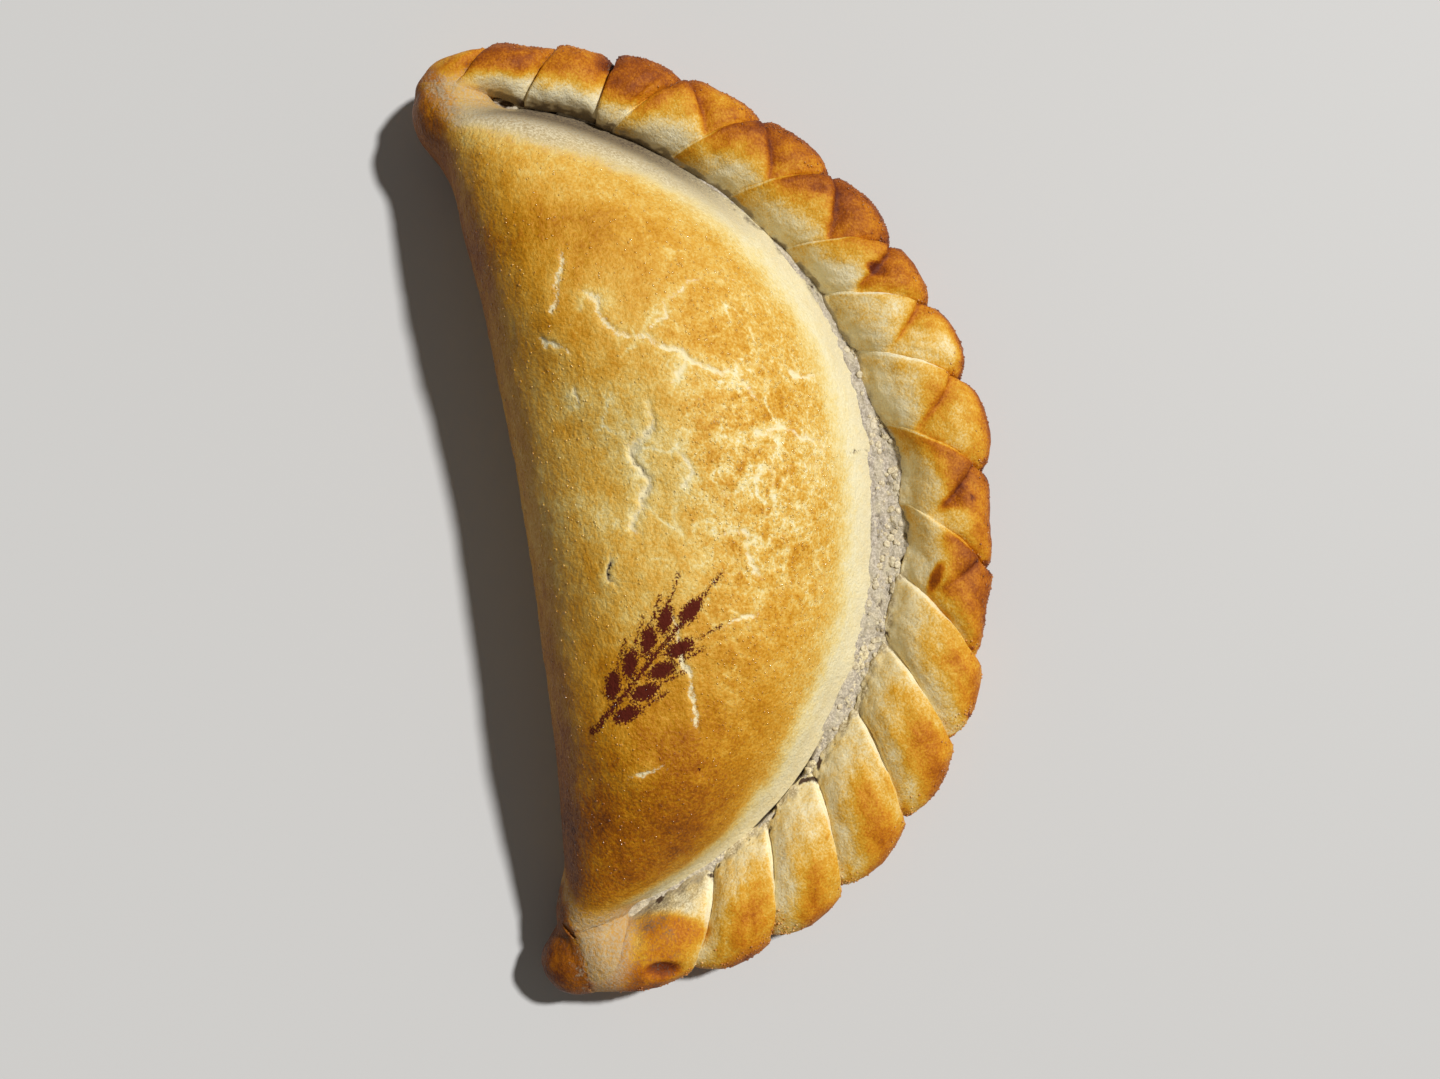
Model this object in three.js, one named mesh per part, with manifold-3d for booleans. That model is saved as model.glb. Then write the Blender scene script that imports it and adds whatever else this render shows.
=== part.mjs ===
// A baked empanada: one disc of dough folded over its filling into a half moon, and sealed
// along the curved edge with a hand-twisted rope crimp.
//
// Units are millimetres. The pastry lies on its flat underside at z = 0. X runs along the folded
// edge, the crimp faces -Y and Z is up. The whole piece is one solid, made of:
//   - the dome, lofted through sections that stand across the length,
//   - the rim, the flat sealed lip between the dome and the crimp,
//   - the crimp, a rope of diagonal twists, lofted along the arc with a crease between each two,
//   - a knob of pinched dough at each end of the crimp, with a neck that joins it to the dome.
import * as THREE from "three";
import { mergeVertices } from "three/addons/utils/BufferGeometryUtils.js";
import Module from "manifold-3d";

// ---- Driving dimensions ---------------------------------------------------------------------

// The seal follows a circular arc about this centre, as the edge of a folded disc does. Angles
// round it run from 0 degrees at the +X tip, over 90 at the middle, to 180 at the -X tip.
const ARC_CENTRE = new THREE.Vector2(0.8, 38.4);
const SEAL_RADIUS = 60.8;

// The dome.
const DOME_HEIGHT = 28.5;
const DOME_FIRST_DEG = 4.5; // where the dome starts and ends along the arc
const DOME_LAST_DEG = 175.5;
const FOLD_EDGE_Y = 30.8; // the folded edge at its deepest
const FOLD_EDGE_DEEPEST_X = -8.4;
const FOLD_EDGE_HOLLOW = 3.2; // how far that edge has come out again at this distance from there
const FOLD_EDGE_HALF_LENGTH = 56;
const CREST_SHARE = 0.4; // where the crest stands between the folded edge and the seal
const BULGE_HEIGHT = 11; // how high the folded side is at its widest
const FOOT_HEIGHT = 4.6; // how high the dome is where it meets the rim
const TIP_HEIGHT = 8; // the dome's height at its two tips
const END_SLOPE = [3.0, 0.7]; // exponents of how the dome comes down towards its two tips
const TOP_CURVE = { fold: [2.35, 0.52], seal: [2.05, 0.93] }; // exponents of its two flanks
const LUMP_HEIGHT = 0.6; // where the filling pushes the dough up, and how far apart that is
const LUMP_SPACING = [57, 48];
const LUMP_PHASE = [0.7, -0.4];
const SMALL_LUMP_HEIGHT = 0.36;
const SMALL_LUMP_SPACING = [30, 37];
const UNDERSIDE_DIP = 1.5; // how far the dome reaches below the table before it is cut flat
const UNDERSIDE_SQUARENESS = 6; // exponent of how sharply it turns under
const TIP_UNDERSIDE = 1.5; // how high its underside has risen at its two tips
const TIP_UNDERSIDE_GIRTH = 0.3; // the share of its full girth at which it lies flat

// The rim, which is widest past the middle, where the dough was stretched.
const RIM_TOP = 5.4;
const RIM_BOTTOM = 1.2;
const RIM_NARROW = 0.7; // half its width at the ends
const RIM_WIDE = 2.8; // half its width where it is widest
const RIM_WIDEST_DEG = 103;
const RIM_TAPER = 6; // exponent: how quickly it narrows away from there
const RIM_TUCK = 7; // how far it runs in under the dome, at the middle
const RIM_FIRST_DEG = 5; // where it starts and ends along the arc
const RIM_LAST_DEG = 175;

// The twists of the crimp: where each ends along the outer edge, in degrees round the arc, and
// how much further out than the others it bulges. They are as uneven as fingers leave them.
const CRIMP_START_DEG = 2.4;
const TWISTS = [
  { end: 11.2, reach: -2.2 },
  { end: 18.8, reach: -1.9 },
  { end: 25.2, reach: -1.2 },
  { end: 33.8, reach: -0.4 },
  { end: 43.8, reach: -0.4 },
  { end: 54.0, reach: 0 },
  { end: 64.7, reach: 0.4 },
  { end: 72.9, reach: 0 },
  { end: 82.0, reach: 0.6 },
  { end: 92.7, reach: 0.8 },
  { end: 103.6, reach: -1.2 },
  { end: 113.6, reach: -1.4 },
  { end: 123.2, reach: 0.1 },
  { end: 133.2, reach: 0.3 },
  { end: 143.6, reach: 0.1 },
  { end: 153.0, reach: 0.2 },
  { end: 162.4, reach: 0 },
  { end: 179.0, reach: -0.35 },
];
const EDGE_RADIUS = 70.2; // the outer edge of the crimp: its radius, and how that swells
const EDGE_SWELL = 6.9; // towards the middle,
const EDGE_LEAN = 2.0; // in the last half,
const EDGE_WAVE = 1.0; // and towards both ends
const ROPE_HALF_HEIGHT = 5.6;
const ROPE_HEIGHT = 5.2; // its centre line above the table
const ROPE_TUCK = 1.2; // how far its inner side lies in the rim
const ROPE_SQUARENESS = 2.2; // exponent of its rounded section
const ROPE_INNER_SLOPE = [2.0, 0.8]; // exponents of how its inner side comes down to the rim
const ROPE_UNDER_DEG = -130; // its section runs from under the outer side,
const ROPE_INNER_DEG = 176; // over the top, to the inner side
const CREASE_DEPTH = [2.3, 2.9]; // in the folded first half and in the smooth second half
const CREASE_DEEPEST_DEG = 50; // where round the section a crease is deepest
const CREASE_SHALLOW = 0.25; // share of the depth that is left on the far side
const CREASE_LEAN_DEG = 8.4; // how far back along the arc a crease runs from edge to rim
const CREASE_LEAN_FADE_DEG = [-20, 55]; // the first twists lean less
const UNDER_LEAN_SHARE = 0.4;
const TWIST_SKEW = 0.85; // below 1 the twist is highest near its first crease
const TWIST_FLATNESS = 2.3; // exponents of its rounded back
const TWIST_ROUNDNESS = 0.62;
const FOLD_DEPTH = 2.0; // the second crease that runs across each of the first twists
const FOLD_WIDTH_DEG = 17;
const FOLD_START_DEG = 12; // it starts at the outer edge, beside the first crease,
const FOLD_END_DEG = 100; // and ends on the crown, beside the next one
const FOLD_FADE_DEG = [100, 122]; // past here the twists are smooth
const CRIMP_END_ROUNDING = [9, 12]; // degrees of arc over which its two ends round off

// The knobs, by place and half sizes, and the necks of dough that join them to the dome.
const KNOBS = [
  { at: [60.1, 33.8, 4.6], size: [6.2, 4.7, 5.2] },
  { at: [-64.6, 33.3, 4.2], size: [5.1, 4.8, 4.4] },
];
const NECKS = [
  { at: [58.6, 31.2, 4.8], size: [8.2, 4.0, 4.6] },
  { at: [-58.8, 29.9, 5.2], size: [7.2, 3.7, 4.6] },
];

// Both tips curl up off the table: how high at each knob, and how far from it the curl reaches.
const TIP_LIFT = [4.2, 1.8];
const TIP_LIFT_REACH = 24;

// How finely the surfaces are cut into faces.
const DOME_STATIONS = 36;
const DOME_TOP_POINTS = 17;
const DOME_UNDER_POINTS = 5;
const RIM_STATIONS = 40;
const STATIONS_PER_TWIST = 8;
const ROPE_POINTS = 21;
const KNOB_SIDES = 16;

// ---- Shared shapes --------------------------------------------------------------------------

const rad = THREE.MathUtils.degToRad;
const lerp = THREE.MathUtils.lerp;
const smooth = THREE.MathUtils.smoothstep;

/** A point at a radius and an angle round the arc, at height z. */
function onArc(radius, angle, z) {
  return new THREE.Vector3(
    ARC_CENTRE.x + radius * Math.cos(angle),
    ARC_CENTRE.y - radius * Math.sin(angle),
    z,
  );
}

/** Half the width of the bare rim at an angle round the arc. */
function rimHalfWidth(angle) {
  const nearness = Math.max(0, Math.cos(angle - rad(RIM_WIDEST_DEG)));
  return RIM_NARROW + (RIM_WIDE - RIM_NARROW) * nearness ** RIM_TAPER;
}

/**
 * A closed surface through rings of points, with a fan over each end. Its four-sided faces are
 * split along one diagonal or, with crossed set, along the other.
 */
function skin(rings, crossed = false) {
  const sides = rings[0].length;
  const points = rings.flat();
  const faces = [];
  for (let r = 0; r + 1 < rings.length; r++) {
    for (let i = 0; i < sides; i++) {
      const a = r * sides + i;
      const b = r * sides + ((i + 1) % sides);
      const [c, d] = [a + sides, b + sides];
      faces.push(...(crossed ? [a, c, b, b, c, d] : [a, d, b, a, c, d]));
    }
  }
  const last = (rings.length - 1) * sides;
  for (const [first, turned] of [[0, false], [last, true]]) {
    const middle = new THREE.Vector3();
    for (let i = 0; i < sides; i++) middle.addScaledVector(points[first + i], 1 / sides);
    const hub = points.push(middle) - 1;
    for (let i = 0; i < sides; i++) {
      const a = first + i;
      const b = first + ((i + 1) % sides);
      faces.push(...(turned ? [hub, b, a] : [hub, a, b]));
    }
  }
  return new THREE.BufferGeometry().setFromPoints(points).setIndex(faces);
}

// ---- Dome -----------------------------------------------------------------------------------

/** How high the top stands between its side and its crest, from 0 to 1, at a share of the width. */
function topShape(share) {
  const onFoldSide = share < CREST_SHARE;
  const [steepness, roundness] = onFoldSide ? TOP_CURVE.fold : TOP_CURVE.seal;
  const away = Math.abs(share - CREST_SHARE) / (onFoldSide ? CREST_SHARE : 1 - CREST_SHARE);
  return Math.max(0, 1 - away ** steepness) ** roundness;
}

/** Low swellings where the filling pushes the dough up. */
function fillingLumps(x, y) {
  const turn = 2 * Math.PI;
  const along = Math.sin((turn * x) / LUMP_SPACING[0] + LUMP_PHASE[0]);
  const across = Math.cos((turn * y) / LUMP_SPACING[1] + LUMP_PHASE[1]);
  const small = Math.sin(turn * (x / SMALL_LUMP_SPACING[0] - y / SMALL_LUMP_SPACING[1]));
  return LUMP_HEIGHT * along * across + SMALL_LUMP_HEIGHT * small;
}

/** One closed section of the dome, across its length, where the foot is at an angle of the arc. */
function domeSection(angle) {
  const foot = onArc(SEAL_RADIUS - rimHalfWidth(angle), angle, 0);
  const fromDeepest = (foot.x - FOLD_EDGE_DEEPEST_X) / FOLD_EDGE_HALF_LENGTH;
  const foldY = FOLD_EDGE_Y + FOLD_EDGE_HOLLOW * fromDeepest ** 2;
  const girth = (1 - Math.abs(Math.cos(angle)) ** END_SLOPE[0]) ** END_SLOPE[1];
  const crest = lerp(TIP_HEIGHT, DOME_HEIGHT, girth);
  const bulge = lerp(TIP_HEIGHT / 2, BULGE_HEIGHT, girth);
  const bottom = lerp(TIP_UNDERSIDE, -UNDERSIDE_DIP, Math.min(1, girth / TIP_UNDERSIDE_GIRTH));
  const edge = (share) => lerp(bulge, Math.min(FOOT_HEIGHT, bulge), share);
  const ring = [];
  for (let i = 0; i < DOME_TOP_POINTS; i++) {
    const share = (1 - Math.cos((Math.PI * i) / DOME_TOP_POINTS)) / 2;
    const y = lerp(foldY, foot.y, share);
    const rise = crest + girth * fillingLumps(foot.x, y) - edge(share);
    ring.push(new THREE.Vector3(foot.x, y, edge(share) + rise * topShape(share)));
  }
  for (let i = 0; i < DOME_UNDER_POINTS; i++) {
    const share = (1 + Math.cos((Math.PI * i) / DOME_UNDER_POINTS)) / 2;
    const under = Math.sqrt(1 - Math.abs(2 * share - 1) ** UNDERSIDE_SQUARENESS);
    const z = edge(share) - (edge(share) - bottom) * under;
    ring.push(new THREE.Vector3(foot.x, lerp(foldY, foot.y, share), z));
  }
  return ring;
}

function domeGeometry() {
  const rings = [];
  for (let i = 0; i <= DOME_STATIONS; i++) {
    rings.push(domeSection(rad(lerp(DOME_FIRST_DEG, DOME_LAST_DEG, i / DOME_STATIONS))));
  }
  return skin(rings);
}

// ---- Rim ------------------------------------------------------------------------------------

/** The sealed lip: a flat band from under the dome to the heart of the rope. */
function rimGeometry() {
  const rings = [];
  for (let i = 0; i <= RIM_STATIONS; i++) {
    const angle = rad(lerp(RIM_FIRST_DEG, RIM_LAST_DEG, i / RIM_STATIONS));
    const inner = SEAL_RADIUS - RIM_TUCK * Math.sin(angle);
    const outer = ropeSection(angle).radius;
    rings.push([
      onArc(inner, angle, RIM_TOP),
      onArc(outer, angle, RIM_TOP),
      onArc(outer, angle, RIM_BOTTOM),
      onArc(inner, angle, RIM_BOTTOM),
    ]);
  }
  return skin(rings);
}

// ---- Crimp ----------------------------------------------------------------------------------

/** The rope's section at an angle round the arc: the radius of its middle and its half width. */
function ropeSection(angle) {
  const swell = EDGE_SWELL * Math.sin(angle) - EDGE_LEAN * Math.sin(2 * angle);
  const outer = EDGE_RADIUS + swell + EDGE_WAVE * Math.sin(3 * angle);
  const inner = SEAL_RADIUS + rimHalfWidth(angle) - ROPE_TUCK;
  return { radius: (outer + inner) / 2, halfWidth: (outer - inner) / 2 };
}

/** How far the rope has filled out at an angle, from 0 at its very end to 1. */
function endFill(angle) {
  const fromStart = (angle - rad(CRIMP_START_DEG)) / rad(CRIMP_END_ROUNDING[0]);
  const fromEnd = (rad(TWISTS.at(-1).end) - angle) / rad(CRIMP_END_ROUNDING[1]);
  const near = Math.min(1, Math.max(0, Math.min(fromStart, fromEnd)));
  return Math.sqrt(1 - (1 - near) ** 2);
}

/** How far back along the arc a crease has run, at a turn round the section. */
function creaseLean(turn, angle) {
  const lean = rad(CREASE_LEAN_DEG) * smooth(THREE.MathUtils.radToDeg(angle), ...CREASE_LEAN_FADE_DEG);
  const across = (1 - Math.cos(turn)) / 2;
  return turn > 0 ? lean * across : -lean * across * UNDER_LEAN_SHARE;
}

/** How much lower than its back a twist lies, at a share of its width and a turn round it. */
function sink(share, turn, angle) {
  const back = (1 - Math.abs(2 * share ** TWIST_SKEW - 1) ** TWIST_FLATNESS) ** TWIST_ROUNDNESS;
  const facing = Math.cos((turn - rad(CREASE_DEEPEST_DEG)) / 2) ** 2;
  const fade = 1 - smooth(THREE.MathUtils.radToDeg(angle), ...FOLD_FADE_DEG);
  const depth = lerp(CREASE_DEPTH[1], CREASE_DEPTH[0], fade);
  const crease = depth * lerp(CREASE_SHALLOW, 1, facing) * (1 - back);
  const foldTurn = rad(lerp(FOLD_START_DEG, FOLD_END_DEG, share));
  const fold = FOLD_DEPTH * fade * Math.exp(-(((turn - foldTurn) / rad(FOLD_WIDTH_DEG)) ** 2));
  return crease + fold * back;
}

/** The crimp's surface at a share of a twist's width along the arc and a turn round the rope. */
function ropePoint(index, share, turn) {
  const start = index === 0 ? CRIMP_START_DEG : TWISTS[index - 1].end;
  const { end, reach } = TWISTS[index];
  const atEdge = rad(lerp(start, end, share));
  const fill = endFill(atEdge);
  const angle = atEdge - creaseLean(turn, atEdge) * fill;
  const { radius, halfWidth } = ropeSection(angle);
  const bend = (v) => Math.sign(v) * Math.abs(v) ** (2 / ROPE_SQUARENESS);
  const slope = (v) => (1 - Math.abs(v) ** ROPE_INNER_SLOPE[0]) ** ROPE_INNER_SLOPE[1];
  const upward = turn > Math.PI / 2 ? slope(Math.cos(turn)) : bend(Math.sin(turn));
  const outermost = halfWidth + reach * Math.sin(Math.PI * share);
  const sunk = sink(share, turn, atEdge);
  const reachOut = bend(Math.cos(turn)) * Math.max(0, outermost - sunk);
  const reachUp = upward * Math.max(0, ROPE_HALF_HEIGHT - sunk);
  return onArc(radius + fill * reachOut, angle, ROPE_HEIGHT + fill * reachUp);
}

function crimpGeometry() {
  const rings = [];
  for (let index = 0; index < TWISTS.length; index++) {
    const stations = index + 1 < TWISTS.length ? STATIONS_PER_TWIST : STATIONS_PER_TWIST + 1;
    for (let i = 0; i < stations; i++) {
      const share = (1 - Math.cos((Math.PI * i) / STATIONS_PER_TWIST)) / 2;
      const ring = [];
      for (let k = 0; k <= ROPE_POINTS; k++) {
        ring.push(ropePoint(index, share, rad(lerp(ROPE_UNDER_DEG, ROPE_INNER_DEG, k / ROPE_POINTS))));
      }
      rings.push(ring.reverse());
    }
  }
  return skin(rings, true); // the faces' diagonals then follow the second creases
}

/** A knob or a neck: an oval lump of dough. */
function lumpGeometry({ at, size }) {
  return new THREE.SphereGeometry(1, KNOB_SIDES, KNOB_SIDES / 2).scale(...size).translate(...at);
}

// ---- One solid ------------------------------------------------------------------------------

const wasm = await Module();
wasm.setup();

/** How high the curl of the tips lifts the pastry at a place. */
function tipLift(x, y) {
  let lift = 0;
  KNOBS.forEach(({ at }, tip) => {
    const away = Math.hypot(x - at[0], y - at[1]);
    lift += TIP_LIFT[tip] * Math.exp(-((away / TIP_LIFT_REACH) ** 2));
  });
  return lift;
}

/** Lifts the points near the tips, so that they curl up off the table. */
function curlTips(geometry) {
  const points = geometry.attributes.position;
  for (let i = 0; i < points.count; i++) {
    points.setZ(i, points.getZ(i) + tipLift(points.getX(i), points.getY(i)));
  }
  return geometry;
}

/** A closed geometry as a solid that can be joined and cut. */
function solid(geometry) {
  geometry.deleteAttribute("normal");
  geometry.deleteAttribute("uv");
  const merged = mergeVertices(geometry, 1e-4);
  const made = new wasm.Manifold(
    new wasm.Mesh({
      numProp: 3,
      vertProperties: merged.attributes.position.array,
      triVerts: new Uint32Array(merged.index.array),
    }),
  );
  if (made.volume() <= 0) throw new Error("a piece of the pastry is inside out");
  return made;
}

/** Everything above the table top, which cuts the flat underside. */
function aboveTable() {
  const reach = 400;
  return solid(new THREE.BoxGeometry(reach, reach, reach).translate(0, 0, reach / 2));
}

function empanadaGeometry() {
  const lumps = [...KNOBS, ...NECKS].map(lumpGeometry);
  const pieces = [domeGeometry(), rimGeometry(), crimpGeometry(), ...lumps];
  const joined = pieces.map((piece) => solid(curlTips(piece))).reduce((whole, piece) => whole.add(piece));
  const { vertProperties, triVerts } = joined.intersect(aboveTable()).getMesh();
  return new THREE.BufferGeometry()
    .setAttribute("position", new THREE.BufferAttribute(vertProperties, 3))
    .setIndex(new THREE.BufferAttribute(triVerts, 1));
}

const crust = new THREE.MeshStandardMaterial({ color: "#d9a04a", roughness: 0.5, flatShading: true });
const empanada = new THREE.Mesh(empanadaGeometry(), crust);
empanada.name = "empanada";

const pastry = new THREE.Group();
pastry.add(empanada);
export default pastry;
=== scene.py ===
"""The looks of a baked empanada: its egg-washed dome, floury seam, rope crimp and pinched tips.

The classes hold their sizes in millimetres and build their meshes in metres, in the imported
model's own frame: X runs along the folded edge, the crimp faces -Y and Z is up. Angles round the
seal's arc run from 0 degrees at the +X tip, over 90 at the middle, to 180 at the -X tip.
"""
import logging
import math
from dataclasses import dataclass, field, fields
from enum import Enum
from itertools import product
from typing import Any

import bpy
import numpy as np
from mathutils import Matrix, Vector
from mathutils.bvhtree import BVHTree


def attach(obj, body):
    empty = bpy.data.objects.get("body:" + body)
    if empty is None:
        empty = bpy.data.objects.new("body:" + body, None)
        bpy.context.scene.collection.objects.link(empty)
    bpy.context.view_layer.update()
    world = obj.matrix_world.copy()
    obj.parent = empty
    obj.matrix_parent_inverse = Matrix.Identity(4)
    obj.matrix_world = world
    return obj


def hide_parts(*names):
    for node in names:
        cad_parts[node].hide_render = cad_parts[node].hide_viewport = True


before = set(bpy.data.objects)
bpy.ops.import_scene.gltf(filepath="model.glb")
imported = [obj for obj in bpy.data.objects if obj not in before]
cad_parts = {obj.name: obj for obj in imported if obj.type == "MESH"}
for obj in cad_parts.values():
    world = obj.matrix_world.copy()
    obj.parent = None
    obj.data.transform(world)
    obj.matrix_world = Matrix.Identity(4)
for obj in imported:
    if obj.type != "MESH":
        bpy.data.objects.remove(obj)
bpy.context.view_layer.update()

log = logging.getLogger("empanada")

MM = 0.001
NODE = "empanada"
BODY = "root"

UNSCORCHED = -1.5  # the scorch mark, in mm, of skin that isn't scorched
TINY = 1e-12
TINY_SHARE = 1e-6
FAR = 9.0  # farther than any distance that is compared with it

Array = np.ndarray
Pair = tuple[float, float]
Triple = tuple[float, float, float]
Knots = tuple[Pair, ...]
Spacing = float | Triple


class Mark(str, Enum):
    """What the surfaces carry at each of their points for the finishes to read."""

    BAKE = "bake"  # how brown the crust is: 0 is raw cream, 1 a deep golden brown
    FLECK = "fleck"  # how strongly its colour breaks up into grains
    FLOUR = "flour"  # how floury and matt it is; on the rope it also lays grey over painted shade
    SPLIT = "split"  # the pale crumb that a split of the skin lays bare
    SHADE = "shade"  # mostly painted shade in grey-brown: in split bottoms, grooves, the seam, crease notches and on sides turned from the light; on the tips and in blotches a greyer tone of the dough
    SCORCH = "scorch"  # how far inside the scorched ear of wheat it lies, in mm
    COVER = "cover"  # how thickly bubbles or crumbs lie on it


# ---- Small tools ----------------------------------------------------------------------------


def lerp(low: Any, high: Any, share: Any) -> Any:
    """Mixes two values."""
    return low + (high - low) * share


def smooth(value: Any, low: float, high: float) -> Array:
    """Eases from 0 at low to 1 at high; low may be the larger one."""
    share = np.clip((np.asarray(value, float) - low) / (high - low), 0.0, 1.0)
    return share * share * (3.0 - 2.0 * share)


def bell(value: Any, middle: float, width: float) -> Array:
    """A smooth hump of height 1 about a middle."""
    return np.exp(-(((np.asarray(value, float) - middle) / width) ** 2))


def curve(value: Array, knots: Knots) -> Array:
    """Reads a smooth curve through a few knots.

    Args:
        value: Where to read it.
        knots: Places and heights, by rising place.

    Returns:
        The height at each value.
    """
    places, heights = np.array(knots).T
    run = np.clip(value, places[0], places[-1])
    index = np.clip(np.searchsorted(places, run) - 1, 0, len(places) - 2)
    share = (run - places[index]) / (places[index + 1] - places[index])
    return lerp(heights[index], heights[index + 1], share * share * (3 - 2 * share))


def hex_colour(code: str) -> tuple[float, float, float, float]:
    """Turns an sRGB hex code into linear RGBA.

    Args:
        code: Six hex digits after a hash.

    Returns:
        The linear colour with full alpha.
    """
    shares = [int(code[i : i + 2], 16) / 255 for i in (1, 3, 5)]
    red, green, blue = (s / 12.92 if s <= 0.04045 else ((s + 0.055) / 1.055) ** 2.4 for s in shares)
    return red, green, blue, 1.0


CELL_PRIMES = (73856093, 19349663, 83492791)
SEED_PRIME = 2654435761
MIXING_FACTOR = 0x2C1B3C6D
LOW_32_BITS = 0xFFFFFFFF


def scramble(cells: Array, seed: int) -> Array:
    """Turns whole-number lattice cells into well-mixed 32-bit numbers.

    Args:
        cells: Whole numbers, the last axis holding x, y and z.
        seed: Picks the pattern.

    Returns:
        One number from 0 to 2**32 for each cell.
    """
    along_x, along_y, along_z = (cells[..., axis] * prime for axis, prime in enumerate(CELL_PRIMES))
    mixed = (along_x ^ along_y ^ along_z ^ (seed * SEED_PRIME)) & LOW_32_BITS
    for _ in range(2):
        mixed = ((mixed ^ (mixed >> 15)) * MIXING_FACTOR) & LOW_32_BITS
        mixed ^= mixed >> 12
    return mixed


SLOPES = np.random.default_rng(11).normal(size=(256, 3))
SLOPES /= np.linalg.norm(SLOPES, axis=1, keepdims=True)
SWELL_GAIN = 1.7  # brings the noise to about -1 to 1
OCTAVE_SEED_STEP = 101


def swell(points: Array, size: Spacing, seed: int, octaves: int = 1) -> Array:
    """Smooth gradient noise, about -1 to 1.

    Args:
        points: Points in mm.
        size: Spacing of its hills in mm, one number or one for each axis.
        seed: Picks the pattern.
        octaves: How many finer layers are added, each half as wide and half as high.

    Returns:
        One value for each point.
    """
    total = np.zeros(len(points))
    for octave in range(octaves):
        place = points / (np.asarray(size, float) / 2**octave)
        cell = np.floor(place).astype(np.int64)
        inside = place - cell
        ease = inside**3 * (inside * (inside * 6 - 15) + 10)
        for corner in product((0, 1), repeat=3):
            slope = SLOPES[scramble(cell + corner, seed + OCTAVE_SEED_STEP * octave) & (len(SLOPES) - 1)]
            weight = np.where(corner, ease, 1 - ease).prod(axis=-1)
            total += weight * ((inside - corner) * slope).sum(-1) * SWELL_GAIN / 2**octave
    return total


def warp(points: Array, size: float, amount: float, seed: int) -> Array:
    """Shifts points about at random, smoothly, for wavering lines."""
    shifts = [swell(points, size, seed + axis, 2) for axis in range(3)]
    return points + amount * np.stack(shifts, -1)


TEN_BITS = 1023


def grains(points: Array, size: float, seed: int) -> tuple[Array, Array]:
    """Finds, for each point, the two nearest of some loosely scattered grains.

    Args:
        points: Points in mm.
        size: Mean spacing of the grains in mm.
        seed: Picks their places.

    Returns:
        The distances to the nearest and the second nearest grain, as shares of the spacing.
    """
    place = points / size
    cell = np.floor(place).astype(np.int64)
    near = np.full(len(points), FAR)
    second = near.copy()
    for step in product((-1, 0, 1), repeat=3):
        mixed = scramble(cell + step, seed)
        spot = np.stack([(mixed >> shift & TEN_BITS) / TEN_BITS for shift in (0, 10, 20)], -1)
        away = np.linalg.norm(cell + step + spot - place, axis=-1)
        second = np.where(away < near, near, np.minimum(second, away))
        near = np.minimum(near, away)
    return near, second


VEIN_WAVER = (0.6, 0.25)  # spacing and depth of a vein's wavering, as shares of its grains' spacing


def veins(points: Array, size: float, width: float, seed: int) -> Array:
    """Draws a net of fine wavering lines between loosely scattered grains.

    Args:
        points: Points in mm.
        size: Mean spacing of the grains in mm.
        width: How wide the lines are, as a share of the spacing.
        seed: Picks the pattern.

    Returns:
        1 on the lines, and 0 off them.
    """
    near, second = grains(warp(points, size * VEIN_WAVER[0], size * VEIN_WAVER[1], seed), size, seed)
    return 1 - smooth(second - near, 0, width)


def path_distance(points: Array, path: Array) -> tuple[Array, Array]:
    """Measures how far points lie from a path of straight runs, seen from above.

    Args:
        points: Points in mm, of which x and y count.
        path: The path's corners in mm.

    Returns:
        The distances, and how far along the path the nearest place is, from 0 to 1.
    """
    nearest = np.full(len(points), np.inf)
    along = np.zeros(len(points))
    runs = len(path) - 1
    for run in range(runs):
        start, reach = path[run], path[run + 1] - path[run]
        share = np.clip(((points[:, :2] - start) @ reach) / (reach @ reach), 0, 1)
        away = np.linalg.norm(points[:, :2] - start - share[:, None] * reach, axis=1)
        closer = away < nearest
        nearest = np.where(closer, away, nearest)
        along = np.where(closer, (run + share) / runs, along)
    return nearest, along


def fillet(distance: Array, width: float) -> Array:
    """How far a surface swells where another is near, so that the two run into each other.

    Args:
        distance: How far each of its points lies from the other surface, in mm.
        width: How wide the fillet is, in mm.

    Returns:
        The height to add at each point.
    """
    return np.maximum(width - np.abs(distance), 0) ** 2 / (4 * width)


CLEARLY_BEHIND = -0.6  # the cosine to a face's outward direction below which a point is inside


def gap(tree: BVHTree, points: Array, reach: float) -> Array:
    """Measures how far points lie outside a surface.

    Args:
        tree: The surface's tree of faces.
        points: Points in mm.
        reach: The farthest that is looked, in mm.

    Returns:
        The distances, at most the reach; inside the surface they are negative.
    """
    gaps = np.full(len(points), reach)
    for index, point in enumerate(map(Vector, points)):
        nearest, facing, _, away = tree.find_nearest(point, reach)
        if nearest is not None:
            behind = (point - nearest).dot(facing) < CLEARLY_BEHIND * away
            gaps[index] = -away if behind else away
    return gaps


SKIN_STEPS = 5  # how often points are moved nearer to the skin that they share
SUNK_SHARE = 0.22  # how deep, as a share of the fillet's width, a neighbour's points form the skin
HIGHEST_RISE = 3.0
DEEPEST_SINK = -1.0
OVERSHOOT_KEPT = 0.5


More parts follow.
